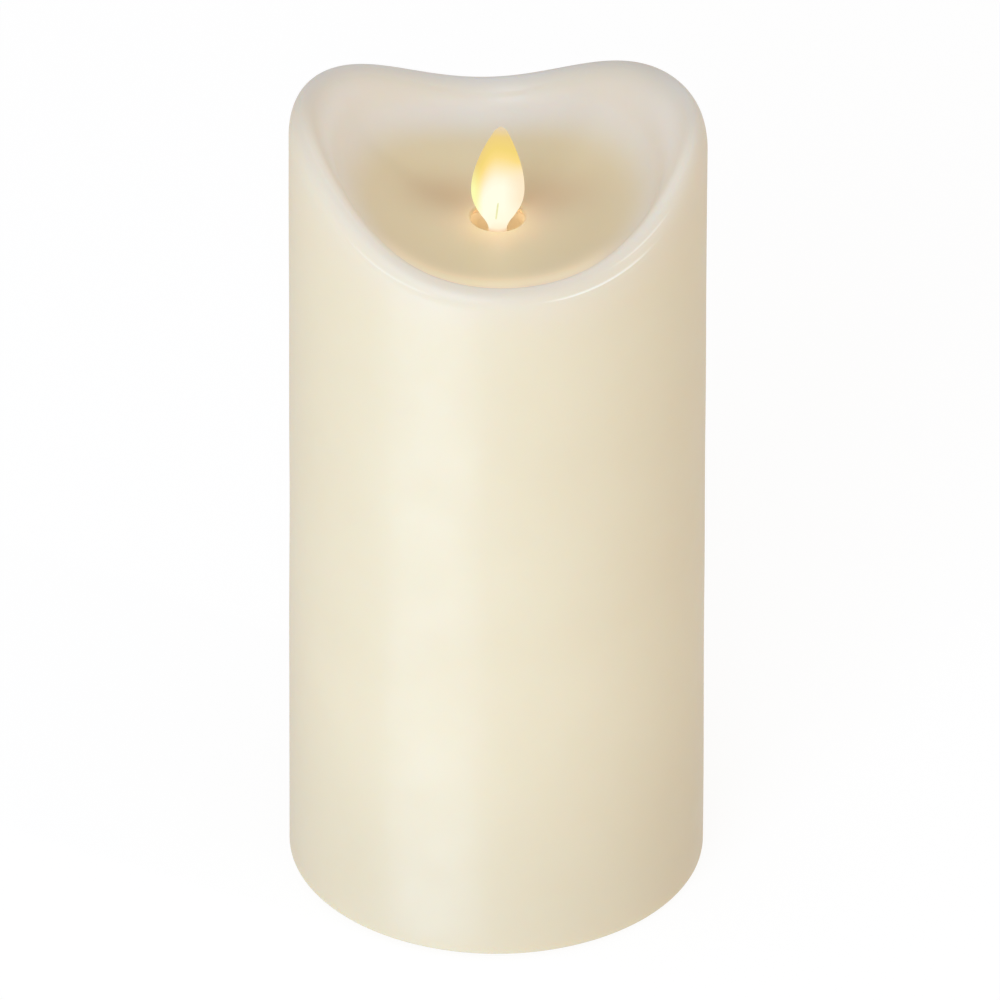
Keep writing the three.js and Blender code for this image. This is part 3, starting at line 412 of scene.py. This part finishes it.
def hand_cast(place):
    """How far the outer wall stands in at a point: the wax is slightly uneven, at two scales."""
    uneven = noise.noise(place * 0.03) * 0.12 + noise.noise(place * 0.011 + Vector((9, 4, 2))) * 0.18
    return max(0.0, uneven + 0.14)


def wax_shell():
    """The whole shell as one mesh, coloured through values stored at its corners."""
    around = 288
    corners, section_masks = [], []
    for k in range(around):
        theta = -2 * math.pi * k / around
        rows = shell_section(theta if theta > -math.pi else theta + 2 * math.pi)
        for r, z, *own in rows:
            place = Vector((r * math.sin(theta), -r * math.cos(theta), z))
            outside = r > BORE_R + 0.5 and own[0] < 0.2
            share = 1 - (hand_cast(place) if outside else 0.0) / r
            corners.append((place.x * share, place.y * share, z))
            section_masks.append(own)
    masks = dict(zip(("recess", "rim", "ridge_highlight", "wall"), zip(*section_masks)))
    masks["ridge_highlight"] = [own + lit_brim(*corner) for corner, own in zip(corners, masks["ridge_highlight"])]
    masks["hollow_shade"] = [hollow_shade(x, y) * deep for (x, y, _), deep in zip(corners, masks["recess"])]
    masks["back"] = [ease(-12, 22, y) for _, y, _ in corners]
    # Painted shade on the candle's right side, away from the key light.
    masks["right"] = [ease(0, 24, x) * (1 - ease(29, 38, x)) for x, _, _ in corners]
    masks["shoulder"] = [ease(20, 34, abs(x)) * ease(157, 169, z) for x, _, z in corners]
    # Painted shade: the wax is darker towards the bottom, where the floor shades it.
    masks["low"] = [ease(60, 0, z) for _, _, z in corners]
    masks["strip"] = [lit_front_strip(x, y) for x, y, _ in corners]
    masks["shadow"] = [shadow(*corner) for corner in corners]
    masks["glow"] = [glow(*corner) for corner in corners]
    piece = mesh_piece("wax_candle", corners, grid_faces(around, len(rows), True, True), 60)
    for name, values in masks.items():
        mark(piece, name, values)
    piece.data.materials.append(wax())
    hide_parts("wax_shell")
    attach(piece, "candle")


BODY_WAX = (0.85, 0.73, 0.51)
BODY_WAX_DEEP = (0.83, 0.705, 0.485)
RIM_LIT_WAX = (0.80, 0.725, 0.60)
BACK_RIM_SHADE_WAX = (0.72, 0.70, 0.66)
WALL_LIT_WAX = (0.93, 0.87, 0.78)
SHOULDER_LIT_WAX = (0.95, 0.92, 0.875)
RIGHT_SHADE = (0.92, 0.9, 0.86)
STRIP_LIGHT_WAX = (1.0, 0.87, 0.585)
SHADOW_WAX = (0.42, 0.30, 0.18)
RECESS_SHADE_WAX = (0.87, 0.735, 0.48)
HOLLOW_SHADE_WAX = (0.74, 0.56, 0.34)
RIDGE_HIGHLIGHT_WAX = (0.98, 0.91, 0.79)
GLOW = (1.0, 0.60, 0.42)


def wax():
    """Ivory wax, a little translucent, coloured part by part through the shell's masks, with painted shade in the
    recess, its hollows, low down and on the right, and painted light on the walls, rim, ridges and front strip.
    """
    paint = Paint("ivory_wax", Roughness=0.42, IOR=1.44, Subsurface_Weight=0.35, Subsurface_Scale=0.006)
    paint.shader.inputs["Subsurface Radius"].default_value = (1.0, 0.62, 0.36)
    paint.shader.inputs["Coat Weight"].default_value = 0.12
    paint.shader.inputs["Coat Roughness"].default_value = 0.18
    colour = paint.mix(paint.patches(0.0, 1.0, 28, 4, 0.55), BODY_WAX, BODY_WAX_DEEP)
    # Painted shade near the floor: the wax darkens towards the bottom.
    colour = paint.shaded(colour, paint.spread(paint.attribute("low"), 1.0, 0.91))
    # Painted shade: the recess, its walls and the back of the rim darken on the right side.
    right = paint.mix(paint.attribute("right"), (1.0, 1.0, 1.0), RIGHT_SHADE)
    # Painted shade: the recess is darker and warmer where its walls shade it.
    colour = paint.mix(paint.attribute("recess"), colour, paint.mix(1.0, right, RECESS_SHADE_WAX, "MULTIPLY"))
    # Painted shade in two hollows behind the flame, where the floor meets the back wall.
    colour = paint.mix(paint.attribute("hollow_shade"), colour, HOLLOW_SHADE_WAX)
    # Painted light: a warm strip low on the recess's front wall.
    colour = paint.mix(paint.attribute("strip"), colour, STRIP_LIGHT_WAX)
    colour = paint.mix(paint.attribute("shadow"), colour, SHADOW_WAX)
    # Painted light: the upper walls of the recess are paler where the light falls on them, most on the high sides.
    wall = paint.mix(paint.attribute("shoulder"), WALL_LIT_WAX, SHOULDER_LIT_WAX)
    colour = paint.mix(paint.attribute("wall"), colour, paint.mix(1.0, right, wall, "MULTIPLY"))
    # Painted light and shade on the rim: paler and cooler at the front where the light falls, greyer in shade at
    # the back.
    rim = paint.mix(1.0, right, BACK_RIM_SHADE_WAX, "MULTIPLY")
    colour = paint.mix(paint.attribute("rim"), colour, paint.mix(paint.attribute("back"), RIM_LIT_WAX, rim))
    # Painted highlight along the ridges and the front of the crest's inner edge.
    colour = paint.mix(paint.attribute("ridge_highlight"), colour, RIDGE_HIGHLIGHT_WAX)
    paint.drive("Base Color", colour)
    paint.drive("Roughness", paint.patches(0.36, 0.5, 90))
    paint.bump(paint.noise(160, 4, 0.6), 0.05, 0.35)
    # Light from inside the candle glows through the wax where it is thin.
    paint.drive("Emission Color", paint.mix(paint.attribute("glow"), (0.0, 0.0, 0.0), GLOW))
    paint.shader.inputs["Emission Strength"].default_value = 0.2
    return paint.material


# ------------------------------------------------------------------ flame
WIRE_LOW, WIRE_HIGH = box_mm("pivot_wire")
MAGNET_HIGH = box_mm("paddle_magnet")[1]
PIVOT_Z = (WIRE_LOW.z + WIRE_HIGH.z) / 2
NECK_Z = 145.6
NECK_HALF_W = 1.85
BELLY_Z = 155.6
BELLY_HALF_W = 5.25
TIP_Z = PADDLE_HIGH.z
TIP_HALF_W = 1.3
TIP_LEAN = 0.6
ARM_HALF_W = 1.5
BLADE_HALF_T = 0.8
EYE_R = 3.2
EYE_HALF_T = 1.3
EYE_HOLE_R = 0.8
CUP_R = PADDLE_HIGH.y
CUP_TOP = PADDLE_LOW.z + 5
WICK_LOW = (-0.36, 148.6)
WICK_HIGH = (0.10, 152.9)
WICK_R = 0.2
WICK_Y = -0.72  # just proud of the blade's front face


def bezier(p0, p1, p2, p3, count):
    """count points along a cubic curve."""
    t = np.linspace(0, 1, count)[:, None]
    p0, p1, p2, p3 = (np.array(p, float) for p in (p0, p1, p2, p3))
    return p0 * (1 - t) ** 3 + 3 * p1 * t * (1 - t) ** 2 + 3 * p2 * t**2 * (1 - t) + p3 * t**3


def flame_outline():
    """Half-width and height from the arm's foot, up round the belly and over the blunt tip."""
    neck = (NECK_HALF_W, NECK_Z)
    belly = (BELLY_HALF_W, BELLY_Z)
    shoulder = (TIP_HALF_W, TIP_Z - 0.85)
    arm = np.array([(ARM_HALF_W, z) for z in np.linspace(CUP_TOP - 1, NECK_Z - 5, 20)])
    lower = bezier(neck, (1.2, NECK_Z + 2.6), (BELLY_HALF_W, NECK_Z + 4.2), belly, 28)
    upper = bezier(belly, (BELLY_HALF_W, BELLY_Z + 4.7), (3.2, BELLY_Z + 9.8), shoulder, 34)
    tip = bezier(shoulder, (1.0, TIP_Z - 0.28), (0.6, TIP_Z), (0.0, TIP_Z), 9)
    return np.concatenate([arm, lower[:-1], upper[:-1], tip[:-1]])


def lean_at(z):
    """How far the flame's middle has moved to the right at a height."""
    return TIP_LEAN * max(0.0, (z - BELLY_Z) / (TIP_Z - BELLY_Z)) ** 1.5


def blade():
    """A lens-shaped blade, thick down its middle and thin at its rounded edge, on its straight arm."""
    across = 21
    corners = []
    outline = flame_outline()
    for w, z in outline:
        on_arm = z <= NECK_Z
        fade = min(1, (TIP_Z - z) / 3)
        thick = BLADE_HALF_T if on_arm else BLADE_HALF_T * (0.55 + 0.45 * fade)
        fullness, edge = (8, 0.5) if on_arm else (2.2, 0.62)  # a flat section, then a lens
        ring = []
        for t in np.linspace(-1, 1, across):
            ring.append((w * t + lean_at(z), thick * (1 - abs(t) ** fullness) ** edge, z))
        corners += ring + [(x, -y, z) for x, y, _ in ring[-2:0:-1]]
    count = 2 * across - 2
    return tube_piece("flame", corners, count, 50)


def turn_outward(piece):
    """Turns every face of a closed mesh to look outward."""
    bm = bmesh.new()
    bm.from_mesh(piece.data)
    bmesh.ops.recalc_face_normals(bm, faces=bm.faces)
    bm.to_mesh(piece.data)
    bm.free()
    return piece


def tube_piece(name, corners, around, sharp_angle=40):
    """A closed tube from its corners, ring by ring."""
    count = len(corners)
    ends = [tuple(range(around)), tuple(range(count - around, count))]
    faces = grid_faces(count // around, around, False, True) + ends
    return turn_outward(mesh_piece(name, corners, faces, sharp_angle))


def wick():
    """The moulded wick: a fine rib up the blade's front face that leans a little to the right."""
    corners = []
    for t in np.linspace(0, 1, 12):
        x, z = (low + (high - low) * t for low, high in zip(WICK_LOW, WICK_HIGH))
        radius = WICK_R * math.sqrt(max(0.05, 1 - (2 * t - 1) ** 6))
        corners += [(x + radius * math.cos(a), WICK_Y + 0.8 * radius * math.sin(a), z) for a in circle(12)]
    return tube_piece("flame_wick", corners, 12, 50)


def rod(name, r, low, high, around):
    """A plain round solid, to cut a hole with."""
    return lathe_piece(name, [(AXIS, low), (r, low), (r, high), (AXIS, high)], around)


def flame():
    """The blade and arm, with the eye that the wire passes through and the magnet's cup at the foot."""
    up = Matrix.Translation((0, 0, PIVOT_Z))
    edge = 0.3
    drum = [(AXIS, -EYE_HALF_T), (EYE_R - edge, -EYE_HALF_T), (EYE_R, edge - EYE_HALF_T)]
    drum += [(r, -z) for r, z in drum[::-1]]
    eye = move(lathe_piece("eye", drum, 64), up @ Matrix.Rotation(math.pi / 2, 4, "X"))
    low = PADDLE_LOW.z
    cup_profile = [(AXIS, low), (CUP_R - edge, low), (CUP_R, low + edge), (CUP_R, CUP_TOP - 0.8)]
    cup_profile += [(CUP_R - 0.25, CUP_TOP - 0.25), (CUP_R - 0.8, CUP_TOP), (AXIS, CUP_TOP)]
    bore = move(rod("bore", EYE_HOLE_R, -5, 5, 32), up @ Matrix.Rotation(math.pi / 2, 4, "Y"))
    pocket = rod("pocket", MAGNET_HIGH.x + GAP, low - 1, MAGNET_HIGH.z + GAP, 48)
    made = combine(blade(), eye, "UNION")
    made = combine(made, lathe_piece("cup", cup_profile, 64), "UNION")
    made = combine(made, bore, "DIFFERENCE")
    made = combine(made, pocket, "DIFFERENCE")
    made.data.materials.clear()
    made.data.materials.append(flame_plastic())
    rib = wick()
    rib.data.materials.append(wick_plastic())
    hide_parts("flame_paddle")
    for piece in (made, rib):
        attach(piece, "paddle")


def linear(*srgb):
    """A colour given as 0-255 display values, as the linear values that a shader takes."""
    return tuple((v / 255 / 12.92) if v < 10 else ((v / 255 + 0.055) / 1.055) ** 2.4 for v in srgb)


def lit_plastic(name):
    """Plastic with so much light in it that its own colour barely shows."""
    paint = Paint(name, Roughness=0.4, Base_Color=(0.03, 0.025, 0.02, 1))
    paint.shader.inputs["Specular IOR Level"].default_value = 0.15
    paint.shader.inputs["Emission Strength"].default_value = 0.97
    return paint


def flame_plastic():
    """A cream core under bands of yellow, with a lemon left edge, a peach right edge and a darker base."""
    paint = lit_plastic("lit_flame")
    apart = paint.add("SeparateXYZ")
    paint.links.new(paint.place(), apart.inputs["Vector"])
    x, z = apart.outputs["X"], apart.outputs["Z"]

    def both(first, second):
        return paint.math("MULTIPLY", first, second)

    # The bands arch over the core, and drop further down the left edge than down the right.
    left = paint.spread(x, 0.40, 0.10, -0.001, 0.001)
    drop = both(both(paint.math("POWER", x, 2.0), left), 1000.0)
    colour = paint.ramp(
        paint.spread(paint.math("ADD", z, drop), 0.0, 1.0, 0.146, 0.170),
        (0.0, linear(250, 232, 200)),
        (0.10, linear(253, 250, 224)),
        (0.25, linear(253, 254, 231)),
        (0.44, linear(253, 254, 230)),
        (0.52, linear(254, 248, 219)),
        (0.60, linear(255, 237, 190)),
        (0.67, linear(253, 228, 160)),
        (0.73, linear(252, 221, 132)),
        (0.81, linear(244, 215, 117)),
        (0.92, linear(239, 209, 126)),
        (1.0, linear(231, 209, 172)),
    )
    lemon = both(paint.spread(x, 1.0, 0.0, -0.0046, -0.0028), paint.spread(z, 1.0, 0.0, 0.1555, 0.1615))
    colour = paint.mix(lemon, colour, linear(252, 253, 176))
    peach = both(paint.spread(x, 0.0, 0.9, 0.0012, 0.0045), paint.spread(z, 1.0, 0.0, 0.158, 0.162))
    peach = both(peach, paint.spread(z, 0.2, 1.0, 0.147, 0.153))
    colour = paint.mix(peach, colour, linear(254, 234, 200))
    base = paint.spread(z, 1.0, 0.0, 0.1457, 0.1467)
    colour = paint.mix(base, colour, linear(240, 204, 160))
    paint.drive("Emission Color", colour)
    return paint.material


def wick_plastic():
    """The same plastic, a little darker than the blade behind it."""
    paint = lit_plastic("lit_wick")
    patches = paint.patches(0.0, 1.0, 900, 2)
    paint.drive("Emission Color", paint.mix(patches, linear(236, 236, 182), linear(231, 231, 172)))
    return paint.material


# ------------------------------------------------------------------ finishes of the other pieces
def moulded(name, colour):
    """Moulded plastic or rubber: a fine grain, and slight patches in its tone and gloss."""
    paint = Paint(name, Roughness=0.5)
    paint.drive("Base Color", paint.shaded(colour, paint.patches(0.92, 1.06, 40)))
    paint.drive("Roughness", paint.patches(0.45, 0.575, 300, 2))
    paint.bump(paint.noise(2500, 2, 0.6), 0.02, 0.4)
    return paint.material


def metal(name, colour):
    """Bright metal with slight patches in its tone and gloss."""
    paint = Paint(name, Metallic=1.0, Roughness=0.34)
    paint.drive("Base Color", paint.shaded(colour, paint.patches(0.93, 1.03, 120, 3, 0.6)))
    paint.drive("Roughness", paint.patches(0.289, 0.408, 300))
    return paint.material


CELL_BAND = (0.62, 0.3, 0.12)
CELL_STEEL = (0.6, 0.6, 0.58)


def cell_skin():
    """A C cell's printed sleeve: dark, with one bright band, and bare metal at the ends."""
    slot = next(entry for entry in frame["record"]["materials"] if entry["slot"] == "cell_sleeve")
    paint = Paint("cell_skin", Roughness=0.3)
    sleeve = paint.mix(paint.attribute("band"), tuple(slot["base_color"][:3]), CELL_BAND)
    colour = paint.mix(paint.attribute("bare"), sleeve, CELL_STEEL)
    paint.drive("Base Color", paint.shaded(colour, paint.patches(0.92, 1.06, 60, 2)))
    paint.drive("Metallic", paint.spread(paint.attribute("bare"), 0.15, 1.0))
    paint.drive("Roughness", paint.patches(0.26, 0.36, 300))
    return paint.material


def smoothing():
    """A node modifier that shades faces smooth except across edges sharper than 32 degrees."""
    group = bpy.data.node_groups.new("smooth_by_angle", "GeometryNodeTree")
    group.interface.new_socket("Geometry", in_out="INPUT", socket_type="NodeSocketGeometry")
    group.interface.new_socket("Geometry", in_out="OUTPUT", socket_type="NodeSocketGeometry")
    add = group.nodes.new
    start, end = add("NodeGroupInput"), add("NodeGroupOutput")
    faces, edges = add("GeometryNodeSetShadeSmooth"), add("GeometryNodeSetShadeSmooth")
    edges.domain = "EDGE"
    angle = add("GeometryNodeInputMeshEdgeAngle")
    blunt = add("FunctionNodeCompare")
    blunt.operation = "GREATER_THAN"
    blunt.inputs["B"].default_value = math.radians(32)
    edges.inputs["Shade Smooth"].default_value = False
    group.links.new(start.outputs[0], faces.inputs["Geometry"])
    group.links.new(faces.outputs[0], edges.inputs["Geometry"])
    group.links.new(angle.outputs["Unsigned Angle"], blunt.inputs["A"])
    group.links.new(blunt.outputs[0], edges.inputs["Selection"])
    group.links.new(edges.outputs[0], end.inputs[0])
    return group


# The CAD nodes whose edges are softened, and by how many millimetres.
BEVELS = {
    "base_plate": 0.3,
    "battery_door": 0.25,
    "battery_box": 0.3,
    "switch_slider": 0.25,
    "switch_body": 0.2,
    "flame_housing_front": 0.3,
    "flame_housing_rear": 0.3,
    "controller_chip": 0.12,
    "circuit_board": 0.1,
    "coil_bobbin": 0.2,
    "led_retainer": 0.2,
    "paddle_magnet": 0.2,
    "door_bridge_plate": 0.08,
}


def finish_cad_nodes():
    """Gives every CAD node its slot's finish and smooth shading, and the ones in BEVELS softer edges."""
    record = frame["record"]
    slots = {part["node"]: part["material_slot"] for part in record["subparts"]}
    paints = finishes()
    group = smoothing()
    for node, piece in frame["nodes"].items():
        piece.data.materials.clear()
        piece.data.materials.append(paints[slots[node]])
        if node in BEVELS:
            flat = piece.modifiers.new("flats", "DECIMATE")
            flat.decimate_type = "DISSOLVE"
            flat.angle_limit = math.radians(1)
        piece.modifiers.new("shading", "NODES").node_group = group
        if node in BEVELS:
            edge = piece.modifiers.new("edges", "BEVEL")
            edge.width = BEVELS[node] * MM
            edge.segments = 2
            edge.angle_limit = math.radians(35)
            edge.harden_normals = True


def finishes():
    """Every material slot's finish, from its colour in the record."""
    made = {}
    for entry in frame["record"]["materials"]:
        shiny = entry["class"] in ("chrome", "brushed_steel", "brass")
        make = metal if shiny else moulded
        made[entry["slot"]] = make("finish_" + entry["slot"], tuple(entry["base_color"][:3]))
    return made


# ------------------------------------------------------------------ screws, feet, springs and cells
SCREW_HEAD_T = 1.2
SCREW_DOME_T = 0.55
SCREW_PITCH = 0.8
SCREW_POINT_T = 1.0
SLOT_HALF_W = 0.25
SLOT_DEPTH = 0.6
SPRING_WIRE_R = 0.35
SPRING_NARROW_R = 2.4
SPRING_TURNS = 3


def middle_of(node):
    """A move from the axis to the middle of a node, seen from above."""
    low, high = box_mm(node)
    return Matrix.Translation(((low.x + high.x) / 2, (low.y + high.y) / 2, 0))


def radius_of(node):
    """A round node's radius, seen from above."""
    low, high = box_mm(node)
    return min(high.x - low.x, high.y - low.y) / 2


def screw_piece(node, steel):
    """A domed, slotted screw that points up, with a rolled thread."""
    low, high = box_mm(node)
    head_r = radius_of(node)
    shank_r = 0.47 * head_r
    core_r = 0.78 * shank_r
    seat = low.z + SCREW_HEAD_T
    profile = [(AXIS, low.z)]
    for turn in np.linspace(0.25, math.pi / 2, 8):
        profile.append((head_r * math.sin(turn), low.z + SCREW_DOME_T * (1 - math.cos(turn))))
    profile += [(head_r, seat - 0.1), (head_r - 0.1, seat), (shank_r, seat)]
    z = seat + 0.6
    while z < high.z - SCREW_POINT_T - 0.2:
        profile += [(core_r, z), (shank_r, z + SCREW_PITCH / 2)]
        z += SCREW_PITCH
    profile += [(core_r, high.z - SCREW_POINT_T), (AXIS, high.z)]
    made = move(lathe_piece(node + "_fine", profile, 40, 30), middle_of(node))
    ends = (-0.7 * head_r, 0.7 * head_r)
    edges = (-SLOT_HALF_W, SLOT_HALF_W)
    levels = (low.z - 1, low.z + SLOT_DEPTH)
    corners = [(x, y, z) for z in levels for y in edges for x in ends]
    sides = [(0, 2, 3, 1), (4, 5, 7, 6), (0, 1, 5, 4), (2, 6, 7, 3), (0, 4, 6, 2), (1, 3, 7, 5)]
    made = combine(made, move(mesh_piece("slot", corners, sides), middle_of(node)), "DIFFERENCE", 30)
    made.data.materials.clear()
    finish_piece(made, node, steel)


def foot_piece(node, rubber):
    """A moulded rubber foot with rounded edges and a shallow dish in its sole."""
    low, high = box_mm(node)
    r = radius_of(node)
    rounding, dish, bevel = 0.5, 0.15, 0.2
    profile = [(AXIS, low.z + dish), (r - 1.3, low.z + dish), (r - 1.0, low.z)]
    for turn in np.linspace(0, math.pi / 2, 6):
        z = low.z + rounding * (1 - math.cos(turn))
        profile.append((r - rounding + rounding * math.sin(turn), z))
    profile += [(r, high.z - bevel), (r - bevel, high.z), (AXIS, high.z)]
    finish_piece(move(lathe_piece(node + "_fine", profile), middle_of(node)), node, rubber)


def spring_piece(node, body, cell, wide_end_up, steel):
    """A conical spring of round wire that presses on a cell: wide at its seat and narrow at the cell."""
    low, high = box_mm(node)
    middle_x = middle_of(cell).translation.x
    wide = high.x - SPRING_WIRE_R - middle_x
    corners = []
    for t in np.linspace(0, 1, 145):
        radius, angle = wide + (SPRING_NARROW_R - wide) * t, 2 * math.pi * SPRING_TURNS * t
        rise = (1 - t if wide_end_up else t) * (high.z - low.z - 2 * SPRING_WIRE_R)
        for turn in circle(12):
            out = radius + SPRING_WIRE_R * math.cos(turn)
            z = low.z + SPRING_WIRE_R + rise + SPRING_WIRE_R * math.sin(turn)
            corners.append((middle_x + out * math.cos(angle), out * math.sin(angle), z))
    finish_piece(tube_piece(node + "_fine", corners, 12), node, steel, body)


def cell_piece(node, nub_up, skin):
    """A C cell with a rolled sleeve, a ringed base and a stepped nub."""
    low, high = box_mm(node)
    r = radius_of(node)
    nub_t = 1.5
    tall = high.z - low.z - nub_t
    base = [(AXIS, 0.3), (r - 5.6, 0.3), (r - 5.2, 0.05), (r - 1.8, 0.0), (r - 1.5, 0.25)]
    sleeve = [(r - 1.2, 0.3), (r - 0.6, 0.5), (r - 0.15, 1.1), (r, 1.8), (r, 0.72 * tall)]
    sleeve += [(r, 0.75 * tall), (r, 0.93 * tall), (r, 0.96 * tall), (r - 0.12, tall - 1.0), (r - 0.5, tall - 0.4)]
    washer = [(r - 1.4, tall - 0.3), (r - 1.9, tall - 0.5), (5.4, tall - 0.5)]
    nub = [(5.0, tall - 0.4), (4.0, tall - 0.2), (3.55, tall + 0.1), (3.4, tall + 1.2)]
    nub += [(3.0, tall + nub_t), (AXIS, tall + nub_t)]
    profile = base + sleeve + washer + nub
    bare = [1.0] * len(base) + [0.0] * len(sleeve + washer) + [1.0] * len(nub)
    band = [float(0.74 * tall < z < 0.94 * tall and ring_r == r) for ring_r, z in profile]
    around = 64
    made = lathe_piece(node + "_fine", profile, around, 30)
    for name, rings in (("bare", bare), ("band", band)):
        mark(made, name, [value for value in rings for _ in range(around)])
    upright = Matrix.Identity(4) if nub_up else Matrix.Rotation(math.pi, 4, "X")
    stand = Matrix.Translation((0, 0, low.z if nub_up else high.z))
    finish_piece(move(made, middle_of(node) @ stand @ upright), node, skin)


def finish_piece(piece, node, material, body="candle"):
    """Puts a fine piece in a CAD node's place and on its moving body."""
    piece.data.materials.append(material)
    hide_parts(node)
    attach(piece, body)


def small_parts():
    """The pieces that take the place of their plainer CAD nodes."""
    skin = cell_skin()
    slots = ("steel", "screw_steel", "rubber")
    steel, screw_steel, rubber = (bpy.data.materials["finish_" + slot] for slot in slots)
    cell_piece("battery_cell_left", True, skin)
    cell_piece("battery_cell_right", False, skin)
    spring_piece("door_spring", "door", "battery_cell_left", False, steel)
    spring_piece("upper_spring", "candle", "battery_cell_right", True, steel)
    for node in frame["nodes"]:
        if node.startswith(("base_screw", "box_screw")):
            screw_piece(node, screw_steel)
        elif node.startswith("foot_pad"):
            foot_piece(node, rubber)


# ------------------------------------------------------------------ floor, light and camera
def backdrop():
    """A pale floor that curves up into a dome, see-through from outside so that any view looks in."""
    flat, sweep, around = 900, 700, 96
    dome = flat + sweep
    turns = np.linspace(0, math.pi / 2, 24)[1:]
    profile = [(0.5, 0), (200, 0), (600, 0), (flat, 0)]
    profile += [(flat + sweep * math.sin(a), sweep * (1 - math.cos(a))) for a in turns]
    profile += [(dome * math.cos(a), sweep + dome * math.sin(a)) for a in turns[:-1]]
    profile.append((0.5, dome + sweep))
    corners = [(r * math.cos(a), r * math.sin(a), z) for r, z in profile for a in circle(around)]
    faces = grid_faces(len(profile), around, False, True)
    faces.append(tuple(range(around)))
    piece = mesh_piece("backdrop", corners, faces, 60)
    paint = Paint("pale_floor", Roughness=0.9, Base_Color=(0.2, 0.2, 0.2, 1))
    paint.shader.inputs["Specular IOR Level"].default_value = 0.0
    paint.shader.inputs["Emission Color"].default_value = (1, 1, 1, 1)
    paint.shader.inputs["Emission Strength"].default_value = 0.84
    clear = paint.add("BsdfTransparent")
    choose = paint.add("MixShader")
    paint.links.new(paint.add("NewGeometry").outputs["Backfacing"], choose.inputs["Fac"])
    paint.links.new(paint.shader.outputs["BSDF"], choose.inputs[1])
    paint.links.new(clear.outputs["BSDF"], choose.inputs[2])
    paint.links.new(choose.outputs["Shader"], paint.nodes["Material Output"].inputs["Surface"])
    piece.data.materials.append(paint.material)
    for kind in ("diffuse", "glossy", "transmission", "volume_scatter", "shadow"):
        setattr(piece, "visible_" + kind, False)


def softbox(name, place, aim, size, watts, colour):
    """A rectangular light, in metres, that faces a point."""
    light = bpy.data.lights.new(name, "AREA")
    light.shape = "RECTANGLE"
    light.size, light.size_y = size
    light.energy = watts
    light.color = colour
    lamp = bpy.data.objects.new(name, light)
    lamp.location = place
    lamp.rotation_euler = (Vector(aim) - Vector(place)).to_track_quat("-Z", "Y").to_euler()
    lamp.visible_camera = False
    bpy.context.scene.collection.objects.link(lamp)


def glow_lamp(name, place, radius_mm, watts, colour):
    """A small round lamp inside the candle, in millimetres."""
    light = bpy.data.lights.new(name, "POINT")
    light.energy = watts
    light.color = colour
    light.shadow_soft_size = radius_mm * MM
    lamp = bpy.data.objects.new(name, light)
    lamp.location = Vector(place) * MM
    lamp.visible_camera = False
    bpy.context.scene.collection.objects.link(lamp)


COOL = (0.53, 0.71, 0.97)


def lights():
    """A cool key and bounce light, a thin strip for the lip's sheen, and the candle's own two glows."""
    world = bpy.data.worlds.new("studio")
    world.use_nodes = True
    world.node_tree.nodes["Background"].inputs["Color"].default_value = (1.0, 0.965, 0.94, 1)
    world.node_tree.nodes["Background"].inputs["Strength"].default_value = 0.69
    bpy.context.scene.world = world
    middle = (0, 0, 0.09)
    softbox("key", (-0.52, -1.59, 0.86), middle, (1.1, 1.1), 15.0, COOL)
    softbox("bounce_card", (-0.74, -1.05, -0.75), middle, (1.2, 0.6), 9.5, COOL)
    softbox("lip_strip", (1.25, -0.7, 0.62), middle, (0.05, 0.9), 1.6, (1.0, 0.99, 0.97))
    glow_lamp("flame_glow", (0, -3.6, 153), 2.0, 0.00014, (1.0, 0.68, 0.5))
    glow_lamp("led_glow", (0, -5.5, 139), 1.5, 0.003, (1.0, 0.79, 0.56))


# A long lens far away, because the photo's sides are near parallel.
VIEW_ELEVATION = math.radians(33.84)
VIEW_DISTANCE = 7.0
VIEW_LENS = 1275.0
VIEW_ROLL = 0.003
VIEW_AIM = Vector((0.00062, 0, 0.08188))


def camera():
    """The photo's view: from the front, looking down at the middle of the candle."""
    data = bpy.data.cameras.new("camera")
    data.lens = VIEW_LENS
    data.sensor_width = 36
    data.clip_start, data.clip_end = 0.1, 50
    made = bpy.data.objects.new("camera", data)
    back = Vector((0, -math.cos(VIEW_ELEVATION), math.sin(VIEW_ELEVATION)))
    turn = (-back).to_track_quat("-Z", "Y").to_matrix() @ Matrix.Rotation(VIEW_ROLL, 3, "Z")
    made.matrix_world = Matrix.Translation(VIEW_AIM + back * VIEW_DISTANCE) @ turn.to_4x4()
    bpy.context.scene.collection.objects.link(made)
    bpy.context.scene.camera = made


bpy.context.scene.view_settings.view_transform = "Standard"
camera()
backdrop()
lights()
finish_cad_nodes()
wax_shell()
flame()
small_parts()
